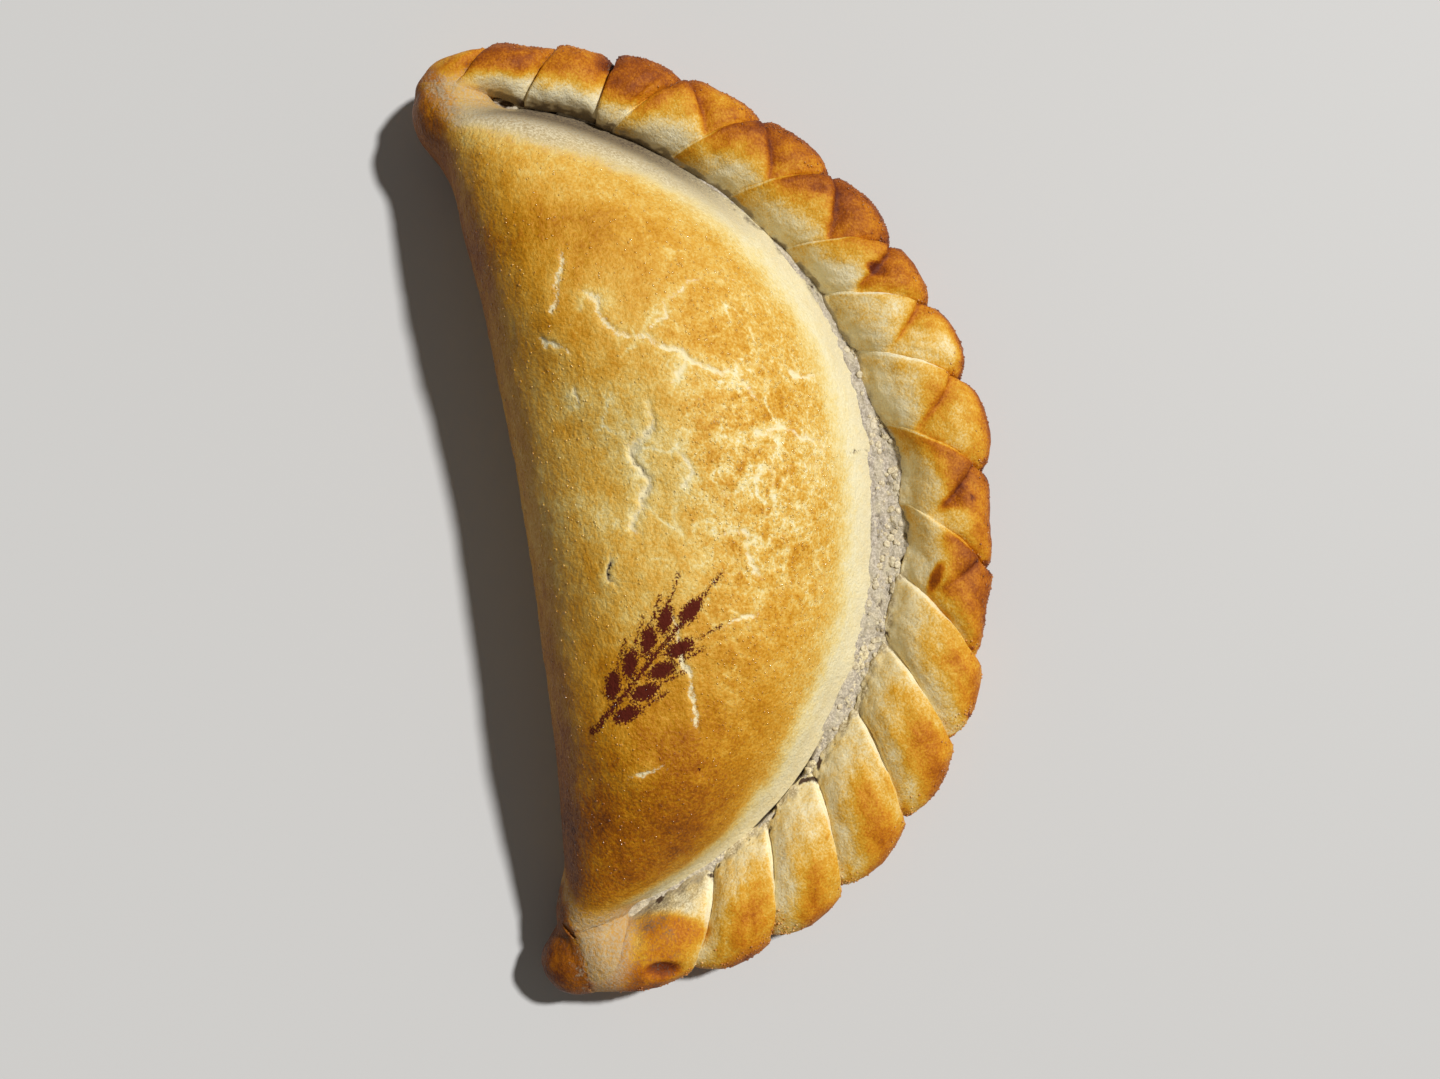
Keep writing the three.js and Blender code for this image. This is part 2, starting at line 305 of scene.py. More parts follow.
def run_in(points: Array, outward: Array, others: list[tuple[BVHTree, float]]) -> Array:
    """How far points move out on to the one skin that a surface forms with its neighbours.

    Args:
        points: Points of the surface in mm.
        outward: The outward direction at each.
        others: The neighbours, each with the width of the fillet that joins it on.

    Returns:
        The height to add at each point: on the skin, or a little below where a neighbour's
        points form it.
    """
    rise, sunk = np.zeros(len(points)), np.full(len(points), FAR)
    for step in range(SKIN_STEPS):
        skin, nearest = rise.copy(), np.full(len(points), FAR)
        for tree, width in others:
            away = gap(tree, points + rise[:, None] * outward, width)
            skin = np.minimum(skin, away) - fillet(skin - away, width)
            nearest = np.minimum(nearest, away)
            if step == 0:
                sunk = np.where(away < 0, np.minimum(sunk, SUNK_SHARE * width + away), sunk)
        rise = np.where(sunk < FAR, 0, np.clip(rise - skin, 0, HIGHEST_RISE))
    rise -= OVERSHOOT_KEPT * np.maximum(rise - nearest, 0)
    return np.where(sunk < FAR, np.maximum(sunk, DEEPEST_SINK), rise)


# ---- Named shapes of tone and relief --------------------------------------------------------


@dataclass(frozen=True)
class Ease:
    """A smooth step from 0 at one value up to an amount at another, which may be the smaller."""

    low: float
    high: float
    amount: float = 1.0

    def at(self, value: Any) -> Array:
        """Its height at values."""
        return self.amount * smooth(value, self.low, self.high)


@dataclass(frozen=True)
class Hump:
    """A smooth hump about a middle, as high as its amount."""

    middle: float
    width: float
    amount: float = 1.0

    def at(self, value: Any) -> Array:
        """Its height at values."""
        return self.amount * bell(value, self.middle, self.width)


@dataclass(frozen=True)
class Noise:
    """A layer of noise: the spacing of its hills, its seed, its octaves and its height."""

    size: Spacing
    seed: int
    octaves: int = 1
    height: float = 1.0

    def at(self, points: Array) -> Array:
        """Its height at points in mm."""
        return self.height * swell(points, self.size, self.seed, self.octaves)


@dataclass(frozen=True)
class Layer:
    """A layer of tone or relief: an amount, times its shape along each of some ways over a surface."""

    amount: float = 1.0
    x: Ease | Hump | None = None
    share: Ease | Hump | None = None
    deg: Ease | Hump | None = None
    from_foot: Ease | Hump | None = None
    turn: Ease | Hump | None = None
    wavering: Ease | Hump | None = None
    beside: Ease | Hump | None = None

    def at(self, place: Any) -> Array:
        """Works out the layer's height at a place.

        Args:
            place: Tells for each way how far along it the points are.

        Returns:
            The height at each point.
        """
        shapes = {way.name: getattr(self, way.name) for way in fields(self)[1:]}
        reached = (shape.at(getattr(place, way)) for way, shape in shapes.items() if shape)
        return self.amount * math.prod(reached)


def layered(layers: tuple[Noise | Layer, ...], place: Any) -> Array:
    """Adds up some layers at a place, or some layers of noise at points in mm."""
    return sum(layer.at(place) for layer in layers)


@dataclass(frozen=True)
class Patches:
    """Something that lies in patches: nowhere that its noise is low, fully where it is high."""

    noise: Noise
    edge: Ease

    def at(self, points: Array) -> Array:
        """How fully it lies at points in mm."""
        return self.edge.at(self.noise.at(points))


@dataclass(frozen=True)
class Web:
    """A net of fine lines that shows in patches, and what its lines do to the skin."""

    size: float
    width: float
    seed: int
    patches: Patches
    depth: float = 0.0  # how deep the lines are sunk, in mm
    pallor: float = 0.0  # how much less brown they are
    flatness: float = 0.4  # how much a step up counts against a step across

    def at(self, points: Array) -> Array:
        """How strongly its lines show at points in mm, from 0 to 1."""
        plan = points * (1.0, 1.0, self.flatness)
        return veins(plan, self.size, self.width, self.seed) * self.patches.at(points)


# ---- Surfaces -------------------------------------------------------------------------------


JOIN_MARGIN = 2.0  # how much farther than a fillet is wide the points near a tip are looked for


@dataclass
class Surface:
    """A closed surface in mm: points, four-sided and three-sided faces, and marks on its points."""

    points: Array
    quads: Array
    triangles: Array
    marks: dict[Mark, Array] = field(default_factory=dict)
    tree: BVHTree | None = None  # for finding the nearest place on it before it swelled

    def normals(self) -> Array:
        """Works out which way is outward.

        Returns:
            The outward direction at each point.
        """
        total = np.zeros_like(self.points)
        for faces in (self.quads, self.triangles):
            corners = self.points[faces]
            if faces.shape[1] == 4:
                facing = np.cross(corners[:, 2] - corners[:, 0], corners[:, 3] - corners[:, 1])
            else:
                facing = np.cross(corners[:, 1] - corners[:, 0], corners[:, 2] - corners[:, 0])
            for column in range(faces.shape[1]):
                np.add.at(total, faces[:, column], facing)
        return total / np.maximum(np.linalg.norm(total, axis=1, keepdims=True), TINY)

    def join(self, tips: list["Surface"], width: float, reach: Array) -> None:
        """Runs it into the tips where it comes within reach of them.

        Args:
            tips: The tips' bare surfaces.
            width: How wide the fillet is, in mm.
            reach: How far from the tips each point lies, in mm.
        """
        self.tree = BVHTree.FromPolygons(self.points.tolist(), self.quads.tolist())
        near = reach < width + JOIN_MARGIN
        rise = np.zeros(len(self.points))
        rise[near] = run_in(self.points[near], self.normals()[near], [(tip.tree, width) for tip in tips])
        self.raise_by(rise)

    def raise_by(self, height: Array) -> None:
        """Moves each point outwards by its own height."""
        self.points = self.points + self.normals() * height[:, None]

    def mesh(self, name: str) -> bpy.types.Mesh:
        """Makes the mesh, in metres, with the marks as point attributes.

        Args:
            name: The mesh's name.

        Returns:
            The new mesh.
        """
        made = bpy.data.meshes.new(name)
        faces = self.quads.tolist() + self.triangles.tolist()
        made.from_pydata((self.points * MM).tolist(), [], faces)
        made.polygons.foreach_set("use_smooth", [True] * len(faces))
        for mark, values in self.marks.items():
            layer = made.attributes.new(mark.value, "FLOAT", "POINT")
            layer.data.foreach_set("value", np.asarray(values, np.float32))
        made.update()
        return made


def loft(rings: Array) -> Surface:
    """Skins rings of points, with a fan over each end.

    Args:
        rings: Points in mm, by ring and by place round the ring.

    Returns:
        The closed surface. Its points are the rings' in their order, then the two ends' middles.
    """
    count, sides, _ = rings.shape
    index = np.arange(count * sides).reshape(count, sides)
    after = np.roll(index, -1, axis=1)
    quads = np.stack([index[:-1], index[1:], after[1:], after[:-1]], -1).reshape(-1, 4)
    hubs = count * sides + np.array([0, 1])
    first = np.stack([np.full(sides, hubs[0]), index[0], after[0]], -1)
    last = np.stack([np.full(sides, hubs[1]), after[-1], index[-1]], -1)
    ends = np.stack([rings[0].mean(0), rings[-1].mean(0)])
    return Surface(np.concatenate([rings.reshape(-1, 3), ends]), quads, np.concatenate([first, last]))


def with_ends(values: Array) -> Array:
    """Lays out values given by ring and place in the order of a loft's points."""
    return np.concatenate([values.reshape(-1), values[0, :1], values[-1, :1]])


def dress(name: str, mesh: bpy.types.Mesh, finish: bpy.types.Material) -> bpy.types.Object:
    """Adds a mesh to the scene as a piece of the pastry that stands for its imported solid.

    Args:
        name: The piece's name.
        mesh: Its mesh, in place.
        finish: Its material.

    Returns:
        The new object.
    """
    piece = bpy.data.objects.new(name, mesh)
    bpy.context.scene.collection.objects.link(piece)
    mesh.materials.clear()
    mesh.materials.append(finish)
    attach(piece, BODY)
    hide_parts(NODE)
    log.info("%s: %d faces", name, len(mesh.polygons))
    return piece


# ---- The form that all pieces share ---------------------------------------------------------


@dataclass(frozen=True)
class Lump:
    """An oval lump of dough: its middle and its half sizes."""

    at: Triple
    size: Triple

    def distance(self, points: Array) -> Array:
        """Roughly how far points lie outside it.

        Args:
            points: Points in mm.

        Returns:
            Their distances in mm; inside it they are negative.
        """
        away = points - self.at
        reach = np.linalg.norm(away / self.size, axis=1)
        steepness = np.linalg.norm(away / np.square(self.size), axis=1)
        return reach * (reach - 1) / np.maximum(steepness, TINY)

    def reach(self, start: Array, directions: Array) -> Array:
        """How far it reaches from a point inside it.

        Args:
            start: The point, in mm.
            directions: Unit directions, the last axis holding x, y and z.

        Returns:
            The distance to its surface in each direction.
        """
        away, heading = (start - self.at) / self.size, directions / self.size
        square = (heading**2).sum(-1)
        half = (heading * away).sum(-1)
        return (-half + np.sqrt(np.maximum(half**2 + square * (1 - (away**2).sum()), 0))) / square


@dataclass(frozen=True)
class Tip:
    """One end of the pastry: the knob and the lumps that join it on, and how high it curls up."""

    name: str
    heart: Triple  # a place inside all of its lumps
    lumps: tuple[Lump, ...]  # the knob first
    lift: float
    knob_edge: Pair  # where the knob's darker skin begins, seen from above
    knob_edge_slope: float
    bakes: Triple  # how brown the neck, the knob and the knob's far side are
    flours: Pair  # how floury the neck and the knob are
    skin: Noise = Noise(1.6, 43, 3)
    mottle: float = 0.07
    edge_raggedness: float = 0.5
    knob_begins: Ease = Ease(-0.9, 0.9)
    far_side_begins: Ease = Ease(2.2, 4.8)
    # A patchy pale grey band along the knob's edge, in the flour's colours.
    grey_band: Hump = Hump(1.2, 1.1)
    grey_band_patches: Ease = Ease(-0.3, 0.5, 0.25)
    floury_height: Ease = Ease(2, 6.5)

    def distance(self, points: Array) -> Array:
        """Roughly how far points lie outside it, before the tips are curled."""
        return np.min([lump.distance(points) for lump in self.lumps], axis=0)

    def tone(self, points: Array) -> tuple[Array, Array]:
        """Tells the tone of its skin.

        Args:
            points: Points in mm.

        Returns:
            How brown and how floury it is at each.
        """
        rough = self.skin.at(points)
        across = points[:, 1] - self.knob_edge[1] - self.knob_edge_slope * (points[:, 0] - self.knob_edge[0])
        across += self.edge_raggedness * rough
        knob, far = self.knob_begins.at(across), self.far_side_begins.at(across)
        bake = lerp(lerp(self.bakes[0], self.bakes[1], knob), self.bakes[2], far) + self.mottle * rough
        grey_band = self.grey_band.at(across) * self.grey_band_patches.at(rough)
        flour = lerp(lerp(*self.flours, knob), 0.0, far) + grey_band
        return bake, flour * self.floury_height.at(points[:, 2])


@dataclass(frozen=True)
class Pastry:
    """The folded disc: the arc of its seal, the bare rim, the rope's edge and the curled tips."""

    arc_centre: Pair = (0.8, 38.4)
    seal_radius: float = 60.8
    rim_top: float = 5.4
    rim_narrow: float = 0.7
    rim_wide: float = 2.8
    rim_widest_deg: float = 103.0
    rim_taper: float = 6.0
    edge_radius: float = 70.2
    edge_swell: float = 6.9
    edge_lean: float = 2.0
    edge_wave: float = 1.0
    rope_tuck: float = 1.2
    lift_reach: float = 24.0
    tip_wrinkles: tuple[Noise, ...] = (Noise(3.2, 41, 2, 0.12), Noise(1.2, 42, 1, 0.03))
    tip_fleck: float = 0.15
    tip_split: float = 0.3  # as a share of its flour
    tip_shade: float = 0.6  # as a share of its flour
    tip_hold: float = 0.25  # the share of a reach within which the tip's own skin shows alone
    tips: tuple[Tip, ...] = (
        Tip("tip_right", (59.4, 32.6, 4.7), (
            Lump((60.1, 33.8, 4.6), (6.2, 4.7, 5.2)), Lump((58.6, 31.6, 4.8), (8.2, 3.8, 4.5))), 4.2,
            (61.9, 32.3), 0.45, (0.58, 0.9, 1.06), (0.6, 0.42)),
        Tip("tip_left", (-62.4, 30.8, 5.0), (
            Lump((-64.6, 33.3, 4.2), (5.1, 4.8, 4.4)), Lump((-63.4, 28.9, 5.2), (5.2, 4.5, 5.2)),
            Lump((-59.4, 30.3, 5.0), (6.6, 4.2, 4.3))), 1.8,
            (-63.0, 32.0), 0.13, (0.7, 1.16, 1.2), (0.62, 0.14)),
    )

    def on_arc(self, radius: Any, angle: Any, height: Any) -> Array:
        """Finds places round the arc.

        Args:
            radius: Their distances from its centre, in mm.
            angle: Their angles, in radians.
            height: Their heights, in mm.

        Returns:
            The points, the last axis holding x, y and z.
        """
        radius, angle, height = np.broadcast_arrays(radius, angle, height)
        across = self.arc_centre[0] + radius * np.cos(angle)
        along = self.arc_centre[1] - radius * np.sin(angle)
        return np.stack([across, along, height], -1)

    def arc_place(self, points: Array) -> tuple[Array, Array]:
        """Tells where round the arc points lie.

        Args:
            points: Points in mm.

        Returns:
            Their radii in mm, and their angles in degrees.
        """
        across = points[..., 0] - self.arc_centre[0]
        along = self.arc_centre[1] - points[..., 1]
        return np.hypot(across, along), np.degrees(np.arctan2(along, across))

    def rim_half_width(self, angle: Any) -> Array:
        """Half the width of the bare rim at an angle round the arc."""
        nearness = np.maximum(0, np.cos(angle - math.radians(self.rim_widest_deg)))
        return self.rim_narrow + (self.rim_wide - self.rim_narrow) * nearness**self.rim_taper

    def rope_section(self, angle: Any) -> tuple[Array, Array]:
        """Tells where the rope's section is.

        Args:
            angle: Angles round the arc, in radians.

        Returns:
            The radius of its middle and its half width, in mm.
        """
        swelling = self.edge_swell * np.sin(angle) - self.edge_lean * np.sin(2 * angle)
        outer = self.edge_radius + swelling + self.edge_wave * np.sin(3 * angle)
        inner = self.seal_radius + self.rim_half_width(angle) - self.rope_tuck
        return (outer + inner) / 2, (outer - inner) / 2

    def tip_reach(self, points: Array) -> Array:
        """Roughly how far points lie outside the nearer tip."""
        return np.min([tip.distance(points) for tip in self.tips], axis=0)

    def pinched(self, points: Array, marks: dict[Mark, Array], reach: float) -> None:
        """Gives points near the tips the tips' own marks.

        Args:
            points: Points in mm.
            marks: What they carry, which is changed.
            reach: How far from the tips, in mm, the change dies out.
        """
        right, left = (tip.tone(points) for tip in self.tips)
        bake, flour = (np.where(points[:, 0] > 0, *pair) for pair in zip(right, left))
        own = {
            Mark.BAKE: bake, Mark.FLOUR: flour, Mark.FLECK: self.tip_fleck,
            Mark.SPLIT: self.tip_split * flour, Mark.SHADE: self.tip_shade * flour,
        }
        strength = self.tip_strength(points, reach)
        for mark, values in marks.items():
            if mark != Mark.SCORCH:
                marks[mark] = lerp(values, own.get(mark, 0), strength)

    def tip_strength(self, points: Array, reach: float) -> Array:
        """How far the tips' own skin shows at points, from 0 at a reach from them to 1."""
        return smooth(self.tip_reach(points), reach, self.tip_hold * reach)

    def wrinkled(self, points: Array, relief: Array, reach: float) -> Array:
        """Blends a relief near the tips, within a reach of them, into the one that they share."""
        return lerp(relief, layered(self.tip_wrinkles, points), self.tip_strength(points, reach))

    def settle(self, points: Array) -> Array:
        """Curls the tips up off the table, and flattens what would reach below it.

        Args:
            points: Points in mm.

        Returns:
            The settled points.
        """
        settled = points.copy()
        for tip in self.tips:
            away = np.hypot(points[:, 0] - tip.lumps[0].at[0], points[:, 1] - tip.lumps[0].at[1])
            settled[:, 2] += tip.lift * np.exp(-((away / self.lift_reach) ** 2))
        settled[:, 2] = np.maximum(settled[:, 2], 0.0)
        return settled


# ---- Dome -----------------------------------------------------------------------------------


@dataclass(frozen=True)
class Split:
    """A split in the skin of the dome: its corners seen from above, its width, its depth and the shade
    painted into it.
    """

    corners: tuple[Pair, ...]
    width: float
    depth: float
    shade: float = 0.0


@dataclass(frozen=True)
class WheatEar:
    """The ear of wheat that is scorched into the dome: a stem, pairs of grains, and bristles."""

    root: Pair = (-30.5, 24.6)
    top: Pair = (-13.2, 6.0)
    stem_length: float = 6.0
    stem_half_width: float = 0.42
    pairs: int = 4
    pair_step: float = 3.9
    pair_spread: float = 2.0
    grain: Pair = (2.35, 1.15)
    grain_lean_deg: float = 27.0
    pair_stagger: float = 0.25  # how far, as a share of a step, each grain of a pair is shifted
    bristle_length: float = 3.4
    bristle_half_width: float = 0.2
    bristle_start: float = 0.9  # where it leaves its grain, as a share of the grain's half length
    bristle_lean: float = 0.3

    def stem(self) -> tuple[Array, Array, Array, Array]:
        """Lays out the stem.

        Returns:
            Its root, the place of the lowest grains, its head, and its direction.
        """
        root, top = np.array(self.root), np.array(self.top)
        along = (top - root) / np.linalg.norm(top - root)
        foot = root + along * self.stem_length
        return root, foot, foot + along * self.pair_step * self.pairs, along

    def grains(self) -> list[tuple[Array, Array]]:
        """Lays out the grains.

        Returns:
            The middle and the direction of each, the one at the head first.
        """
        _, foot, head, along = self.stem()
        side = np.array([-along[1], along[0]])
        lean = math.radians(self.grain_lean_deg)
        found = [(head, along)]
        for pair, hand in product(range(self.pairs), (-1, 1)):
            heading = along * math.cos(lean) + hand * side * math.sin(lean)
            middle = foot + along * self.pair_step * (pair + self.pair_stagger * hand)
            found.append((middle + hand * side * self.pair_spread, heading))
        return found

    def inside(self, points: Array) -> Array:
        """Measures how far inside the ear points lie, seen from above.

        Args:
            points: Points in mm.

        Returns:
            The depths in mm; outside the ear they are negative.
        """
        root, _, head, along = self.stem()
        best = self.stem_half_width - path_distance(points, np.array([root, head]))[0]
        for middle, heading in self.grains():
            away = points[:, :2] - middle
            across = np.array([-heading[1], heading[0]])
            reach = np.hypot(away @ heading / self.grain[0], away @ across / self.grain[1])
            best = np.maximum(best, (1 - reach) * self.grain[1])
            start = middle + heading * self.grain[0] * self.bristle_start
            bristle = np.array([start, start + (heading + self.bristle_lean * along) * self.bristle_length])
            best = np.maximum(best, self.bristle_half_width - path_distance(points, bristle)[0])
        return best


@dataclass
class DomePlace:
    """Where the points of the dome lie."""

    flat: Array  # in mm, before the surface swells
    top: Array  # whether they belong to the top
    share: Array  # their share of the width, from the folded edge to the seal
    deg: Array  # their angle round the arc
    from_foot: Array  # how far inwards from the dome's foot they are, in mm

    @property
    def x(self) -> Array:
        """Their place along the pastry, in mm."""
        return self.flat[:, 0]


@dataclass
class DomeSkin:
    """What shows in the dome's skin at its points, each from 0 to 1 but for the depth."""

    lips: Array  # the pale edges of splits
    halo: Array  # the skin that swelled beside them
    dark: Array  # the shade painted into their bottoms
    depth: Array  # how deep they cut, in mm
    specks: Array
    crazed: Array  # where the egg wash crazed into grains
    webs: list[Array]  # the nets of lines between those grains, the widest first
    clusters: Array  # how the grains bunch together
    cracks: Array


@dataclass(frozen=True)
class DomeTones:
    """How the dome's skin split, crazed, browned and caught flour, and where shade is painted on it.

    Edge is the way inwards from the dome's foot, in steps of the pale edge's own width.
    """

    split_wavers: tuple[tuple[float, float, int], ...] = ((2.6, 0.6, 51), (0.9, 0.3, 55))
    split_least: float = 0.65
    split_patches: Patches = Patches(Noise(3.2, 54, 2), Ease(-0.6, 0.5, 0.45))
    split_taper: Pair = (4.0, 0.3)  # how fast a split opens, and how wide it starts
    lip_width: float = 0.62
    halo_width: Pair = (0.5, 1.6)
    bottom_width: float = 0.5
    shaded_width: float = 0.26
    lip_height: float = 0.1
    split_sink: float = 0.7
    splits: tuple[Split, ...] = (
        Split(((14.0, 10.4), (9.2, 10.1), (7.6, 13.2), (5.0, 13.6), (2.6, 11.8), (-1.7, 13.9), (-3.2, 14.8),
               (-5.1, 13.9)), 1.0, 0.55, 0.6),
        Split(((-5.9, 17.6), (-7.8, 18.6), (-9.1, 19.2), (-11.3, 18.4)), 0.5, 0.5, 1.0),
        Split(((36.2, 18.4), (30.2, 21.0), (26.8, 21.5)), 0.55, 0.22),
        Split(((30.0, 17.9), (28.2, 15.2), (25.5, 15.0), (23.2, 13.1), (22.6, 9.4), (19.5, 6.2)), 0.85, 0.35),
        Split(((22.6, 9.4), (19.5, 6.2), (17.3, 2.6), (15.0, -1.9), (11.3, -4.8)), 0.75, 0.4, 0.25),
        Split(((23.9, 23.9), (21.3, 19.7)), 0.5, 0.25, 0.15),
        Split(((22.6, 9.4), (24.4, 6.8), (27.5, 5.6), (30.7, -1.4)), 0.6, 0.2),
        Split(((18.2, 4.6), (15.0, 6.5)), 0.6, 0.25),
        Split(((15.3, -9.1), (14.6, -13.8)), 0.5, 0.2),
        Split(((7.5, 7.2), (2.5, 5.9), (0.7, 7.8)), 0.55, 0.2),
        Split(((6.9, -2.8), (7.1, -8.1), (4.2, -13.3)), 0.6, 0.2),
        Split(((17.1, 20.3), (13.4, 20.2)), 0.45, 0.2),
        Split(((-15.2, 11.5), (-24.4, 10.6), (-33.2, 10.1)), 0.6, 0.28, 0.1),
        Split(((-18.3, 5.1), (-17.4, -0.9)), 0.6, 0.22),
        Split(((-36.5, 15.4), (-37.2, 20.8)), 0.6, 0.2),
        Split(((-5.8, 5.3), (-6.2, -0.1), (-10.4, -0.5), (-13.0, -1.2)), 0.6, 0.2),
        Split(((3.2, -16.5), (2.8, -21.8)), 0.14, 0.15, 0.6),
    )
    specks: tuple[Triple, ...] = (
        (-6.7, 8.5, 0.3), (-37.8, 10.8, 0.6), (-13.5, 11.8, 0.2), (-8.1, 5.8, 0.22), (-51.0, -7.7, 0.35),
    )
    speck_sink: float = 0.2
    speck_scorch: float = 1.9
    crazed: Layer = Layer(x=Hump(2, 27), share=Ease(0.42, 0.6), from_foot=Ease(4.5, 7))
    webs: tuple[Web, ...] = (
        Web(5.2, 0.15, 61, Patches(Noise(8.0, 62), Ease(-0.5, 0.3)), 0.10, 0.16),
        Web(2.3, 0.22, 63, Patches(Noise(6.0, 64), Ease(-0.5, 0.4)), 0.05, 0.2),
        Web(1.3, 0.3, 68, Patches(Noise(4.0, 69), Ease(-0.6, 0.3)), 0.0, 0.18),
    )
    clusters: Noise = Noise(2.4, 65, 3)
    cluster_height: float = 0.05
    cluster_bake: Ease = Ease(-0.1, 0.6, 0.2)
    crazed_bake: float = 0.1
    cracks: Web = Web(8.5, 0.07, 66, Patches(Noise(7.0, 67), Ease(-0.1, 0.4)), 0.06, 0.3)
    cracked: Layer = Layer(x=Hump(8, 36), share=Ease(0.12, 0.3), from_foot=Ease(4, 8))
    waves: tuple[Noise, ...] = (Noise(13.0, 3, 2, 0.2), Noise(2.6, 4, 2, 0.06))
    pores: Noise = Noise(0.9, 5)
    pores_from_foot: Ease = Ease(3, 7, 0.05)
    bake_along: Knots = (
        (-62, 0.85), (-46, 1.02), (-35, 0.86), (-24, 0.68), (-12, 0.46), (0, 0.36),
        (14, 0.42), (26, 0.56), (38, 0.74), (48, 0.62), (60, 0.4),
    )
    bake_across: Knots = (
        (0.0, 0.3), (0.03, 0.22), (0.12, 0.04), (0.3, 0.02), (0.45, 0.02), (0.6, 0.05), (1.0, 0.0),
    )
    less_across: Ease = Ease(-16, -28, 0.4)
    blotches: tuple[Noise, ...] = (Noise(9.0, 71, 2, 0.08), Noise(3.2, 72, 3, 0.08))
    toned: tuple[Layer, ...] = (
        Layer(-0.2, x=Hump(38, 13), share=Ease(0.3, 0.62)),
        Layer(-0.14, x=Hump(-32, 14), share=Ease(0.45, 0.7)),
        # Painted shade: a browner spot on the flank by the folded edge, about the middle.
        Layer(0.1, x=Hump(-2, 9), share=Hump(0.16, 0.1)),
    )
    halo_pallor: float = 0.16
    streaks: Noise = Noise((8.0, 1.6, 2.2), 73, 2, 0.07)
    streaks_across: Ease = Ease(0.5, 0.3)
    edge_width: Knots = (
        (0, 0.6), (20, 1.3), (45, 1.1), (70, 1.0), (125, 1.0), (160, 0.4), (180, 0.2),
    )
    edge_waver: Noise = Noise(5.0, 74, 3, 0.6)
    edge_bake: float = 0.32
    edge_least: float = 0.5  # how much of the top's own bake shows at the foot
    edge_fades: Ease = Ease(4, 12)
    foot_bake: Pair = (0.1, 0.6)  # the share of the bake that is left at the foot
    foot_bake_deg: Ease = Ease(40, 15)
    foot_bake_fades: Ease = Ease(1.8, 6.6)
    under_bake: float = 0.6
    under_blotches: Noise = Noise(6.0, 75, 2, 0.15)
    under_flour: float = 0.25
    fleck: float = 0.25
    crazed_fleck: float = 0.85
    fleck_left: Ease = Ease(-25, -40, 0.3)
    fleck_fades: Ease = Ease(2.5, 6)
    flour_round: Knots = ((20, 1.0), (55, 0.62), (130, 0.6), (160, 0.45))
    flour_wider: Ease = Ease(60, 40, 2.4)
    flour_edge: Ease = Ease(0, 5)
    web_crumb: float = 0.4
    crack_crumb: float = 0.45
    # Painted shade: a ragged dark line along the seam, and a darker foot towards the +X tip.
    seam_patches: Patches = Patches(Noise(2.2, 76, 3), Ease(-0.5, 0.3))
    seam_waver: Noise = Noise(3.0, 77, 2, 0.4)
    seam_width: Ease = Ease(1.5, 0.4)
    seam_deg: Ease = Ease(80, 60)
    seam_shade: float = 0.6
    foot_shade: Layer = Layer(0.66, deg=Ease(72, 30), from_foot=Ease(6, 0.5))
    ear: WheatEar = WheatEar()
    ear_waver: tuple[float, float, int] = (2.0, 0.12, 81)
    cover: float = 0.12
    crazed_cover: float = 0.88
    cover_from_foot: Ease = Ease(3.5, 7)

    def splitting(self, points: Array) -> tuple[Array, Array, Array, Array]:
        """Finds the splits.

        Args:
            points: Points in mm.

        Returns:
            How strongly the pale lips, the swollen skin beside them and the shade painted into
            the bottoms show at each point, and how deep the splits cut there.
        """
        wavered = points
        for size, amount, seed in self.split_wavers:
            wavered = warp(wavered, size, amount, seed)
        lips, halo, dark, depth = (np.zeros(len(points)) for _ in range(4))
        patchy = self.split_least + self.split_patches.at(points)
        pace, start = self.split_taper
        for split in self.splits:
            away, along = path_distance(wavered, np.array(split.corners))
            taper = np.clip(np.minimum(along, 1 - along) * pace + start, 0, 1) * patchy
            lips = np.maximum(lips, taper * bell(away, 0, self.lip_width * split.width))
            beside = self.halo_width[0] + self.halo_width[1] * split.width
            halo = np.maximum(halo, taper * bell(away, 0, beside))
            cut = split.depth * taper * bell(away, 0, self.bottom_width * split.width)
            depth = np.maximum(depth, cut)
            # Painted shade in the split's bottom.
            dark = np.maximum(dark, split.shade * taper * bell(away, 0, self.shaded_width))
        return lips, halo, dark, depth

    def skin(self, place: DomePlace) -> DomeSkin:
        """Finds what shows in the skin.

        Args:
            place: Where the points lie.

        Returns:
            What shows at each of them.
        """
        flat, top = place.flat, place.top
        x, y = flat[:, 0], flat[:, 1]
        lips, halo, dark, depth = (top * values for values in self.splitting(flat))
        specks = np.zeros(len(flat))
        for speck_x, speck_y, size in self.specks:
            specks = np.maximum(specks, top * bell(np.hypot(x - speck_x, y - speck_y), 0, size))
        webs, clusters = [web.at(flat) for web in self.webs], self.clusters.at(flat)
        cracks = self.cracks.at(flat) * self.cracked.at(place)
        return DomeSkin(
            lips, halo, dark, depth, specks, self.crazed.at(place), webs, clusters, cracks)

    def relief(self, place: DomePlace, skin: DomeSkin) -> Array:
        """Works out the skin's fine relief.

        Args:
            place: Where the points lie.
            skin: What shows in the skin.

        Returns:
            How high it stands at each point, in mm.
        """
        crazing = self.cluster_height * skin.clusters
        crazing -= sum(web.depth * lines for web, lines in zip(self.webs, skin.webs))
        relief = layered(self.waves, place.flat) + skin.crazed * crazing - self.cracks.depth * skin.cracks
        relief += self.pores_from_foot.at(place.from_foot) * self.pores.at(place.flat)
        relief += self.lip_height * (skin.halo - skin.lips)
        return relief - self.split_sink * skin.depth - self.speck_sink * skin.specks

    def edge(self, place: DomePlace) -> Array:
        """How far inwards from the foot points are, in steps of the pale edge's width there."""
        return place.from_foot / curve(place.deg, self.edge_width) + self.edge_waver.at(place.flat)

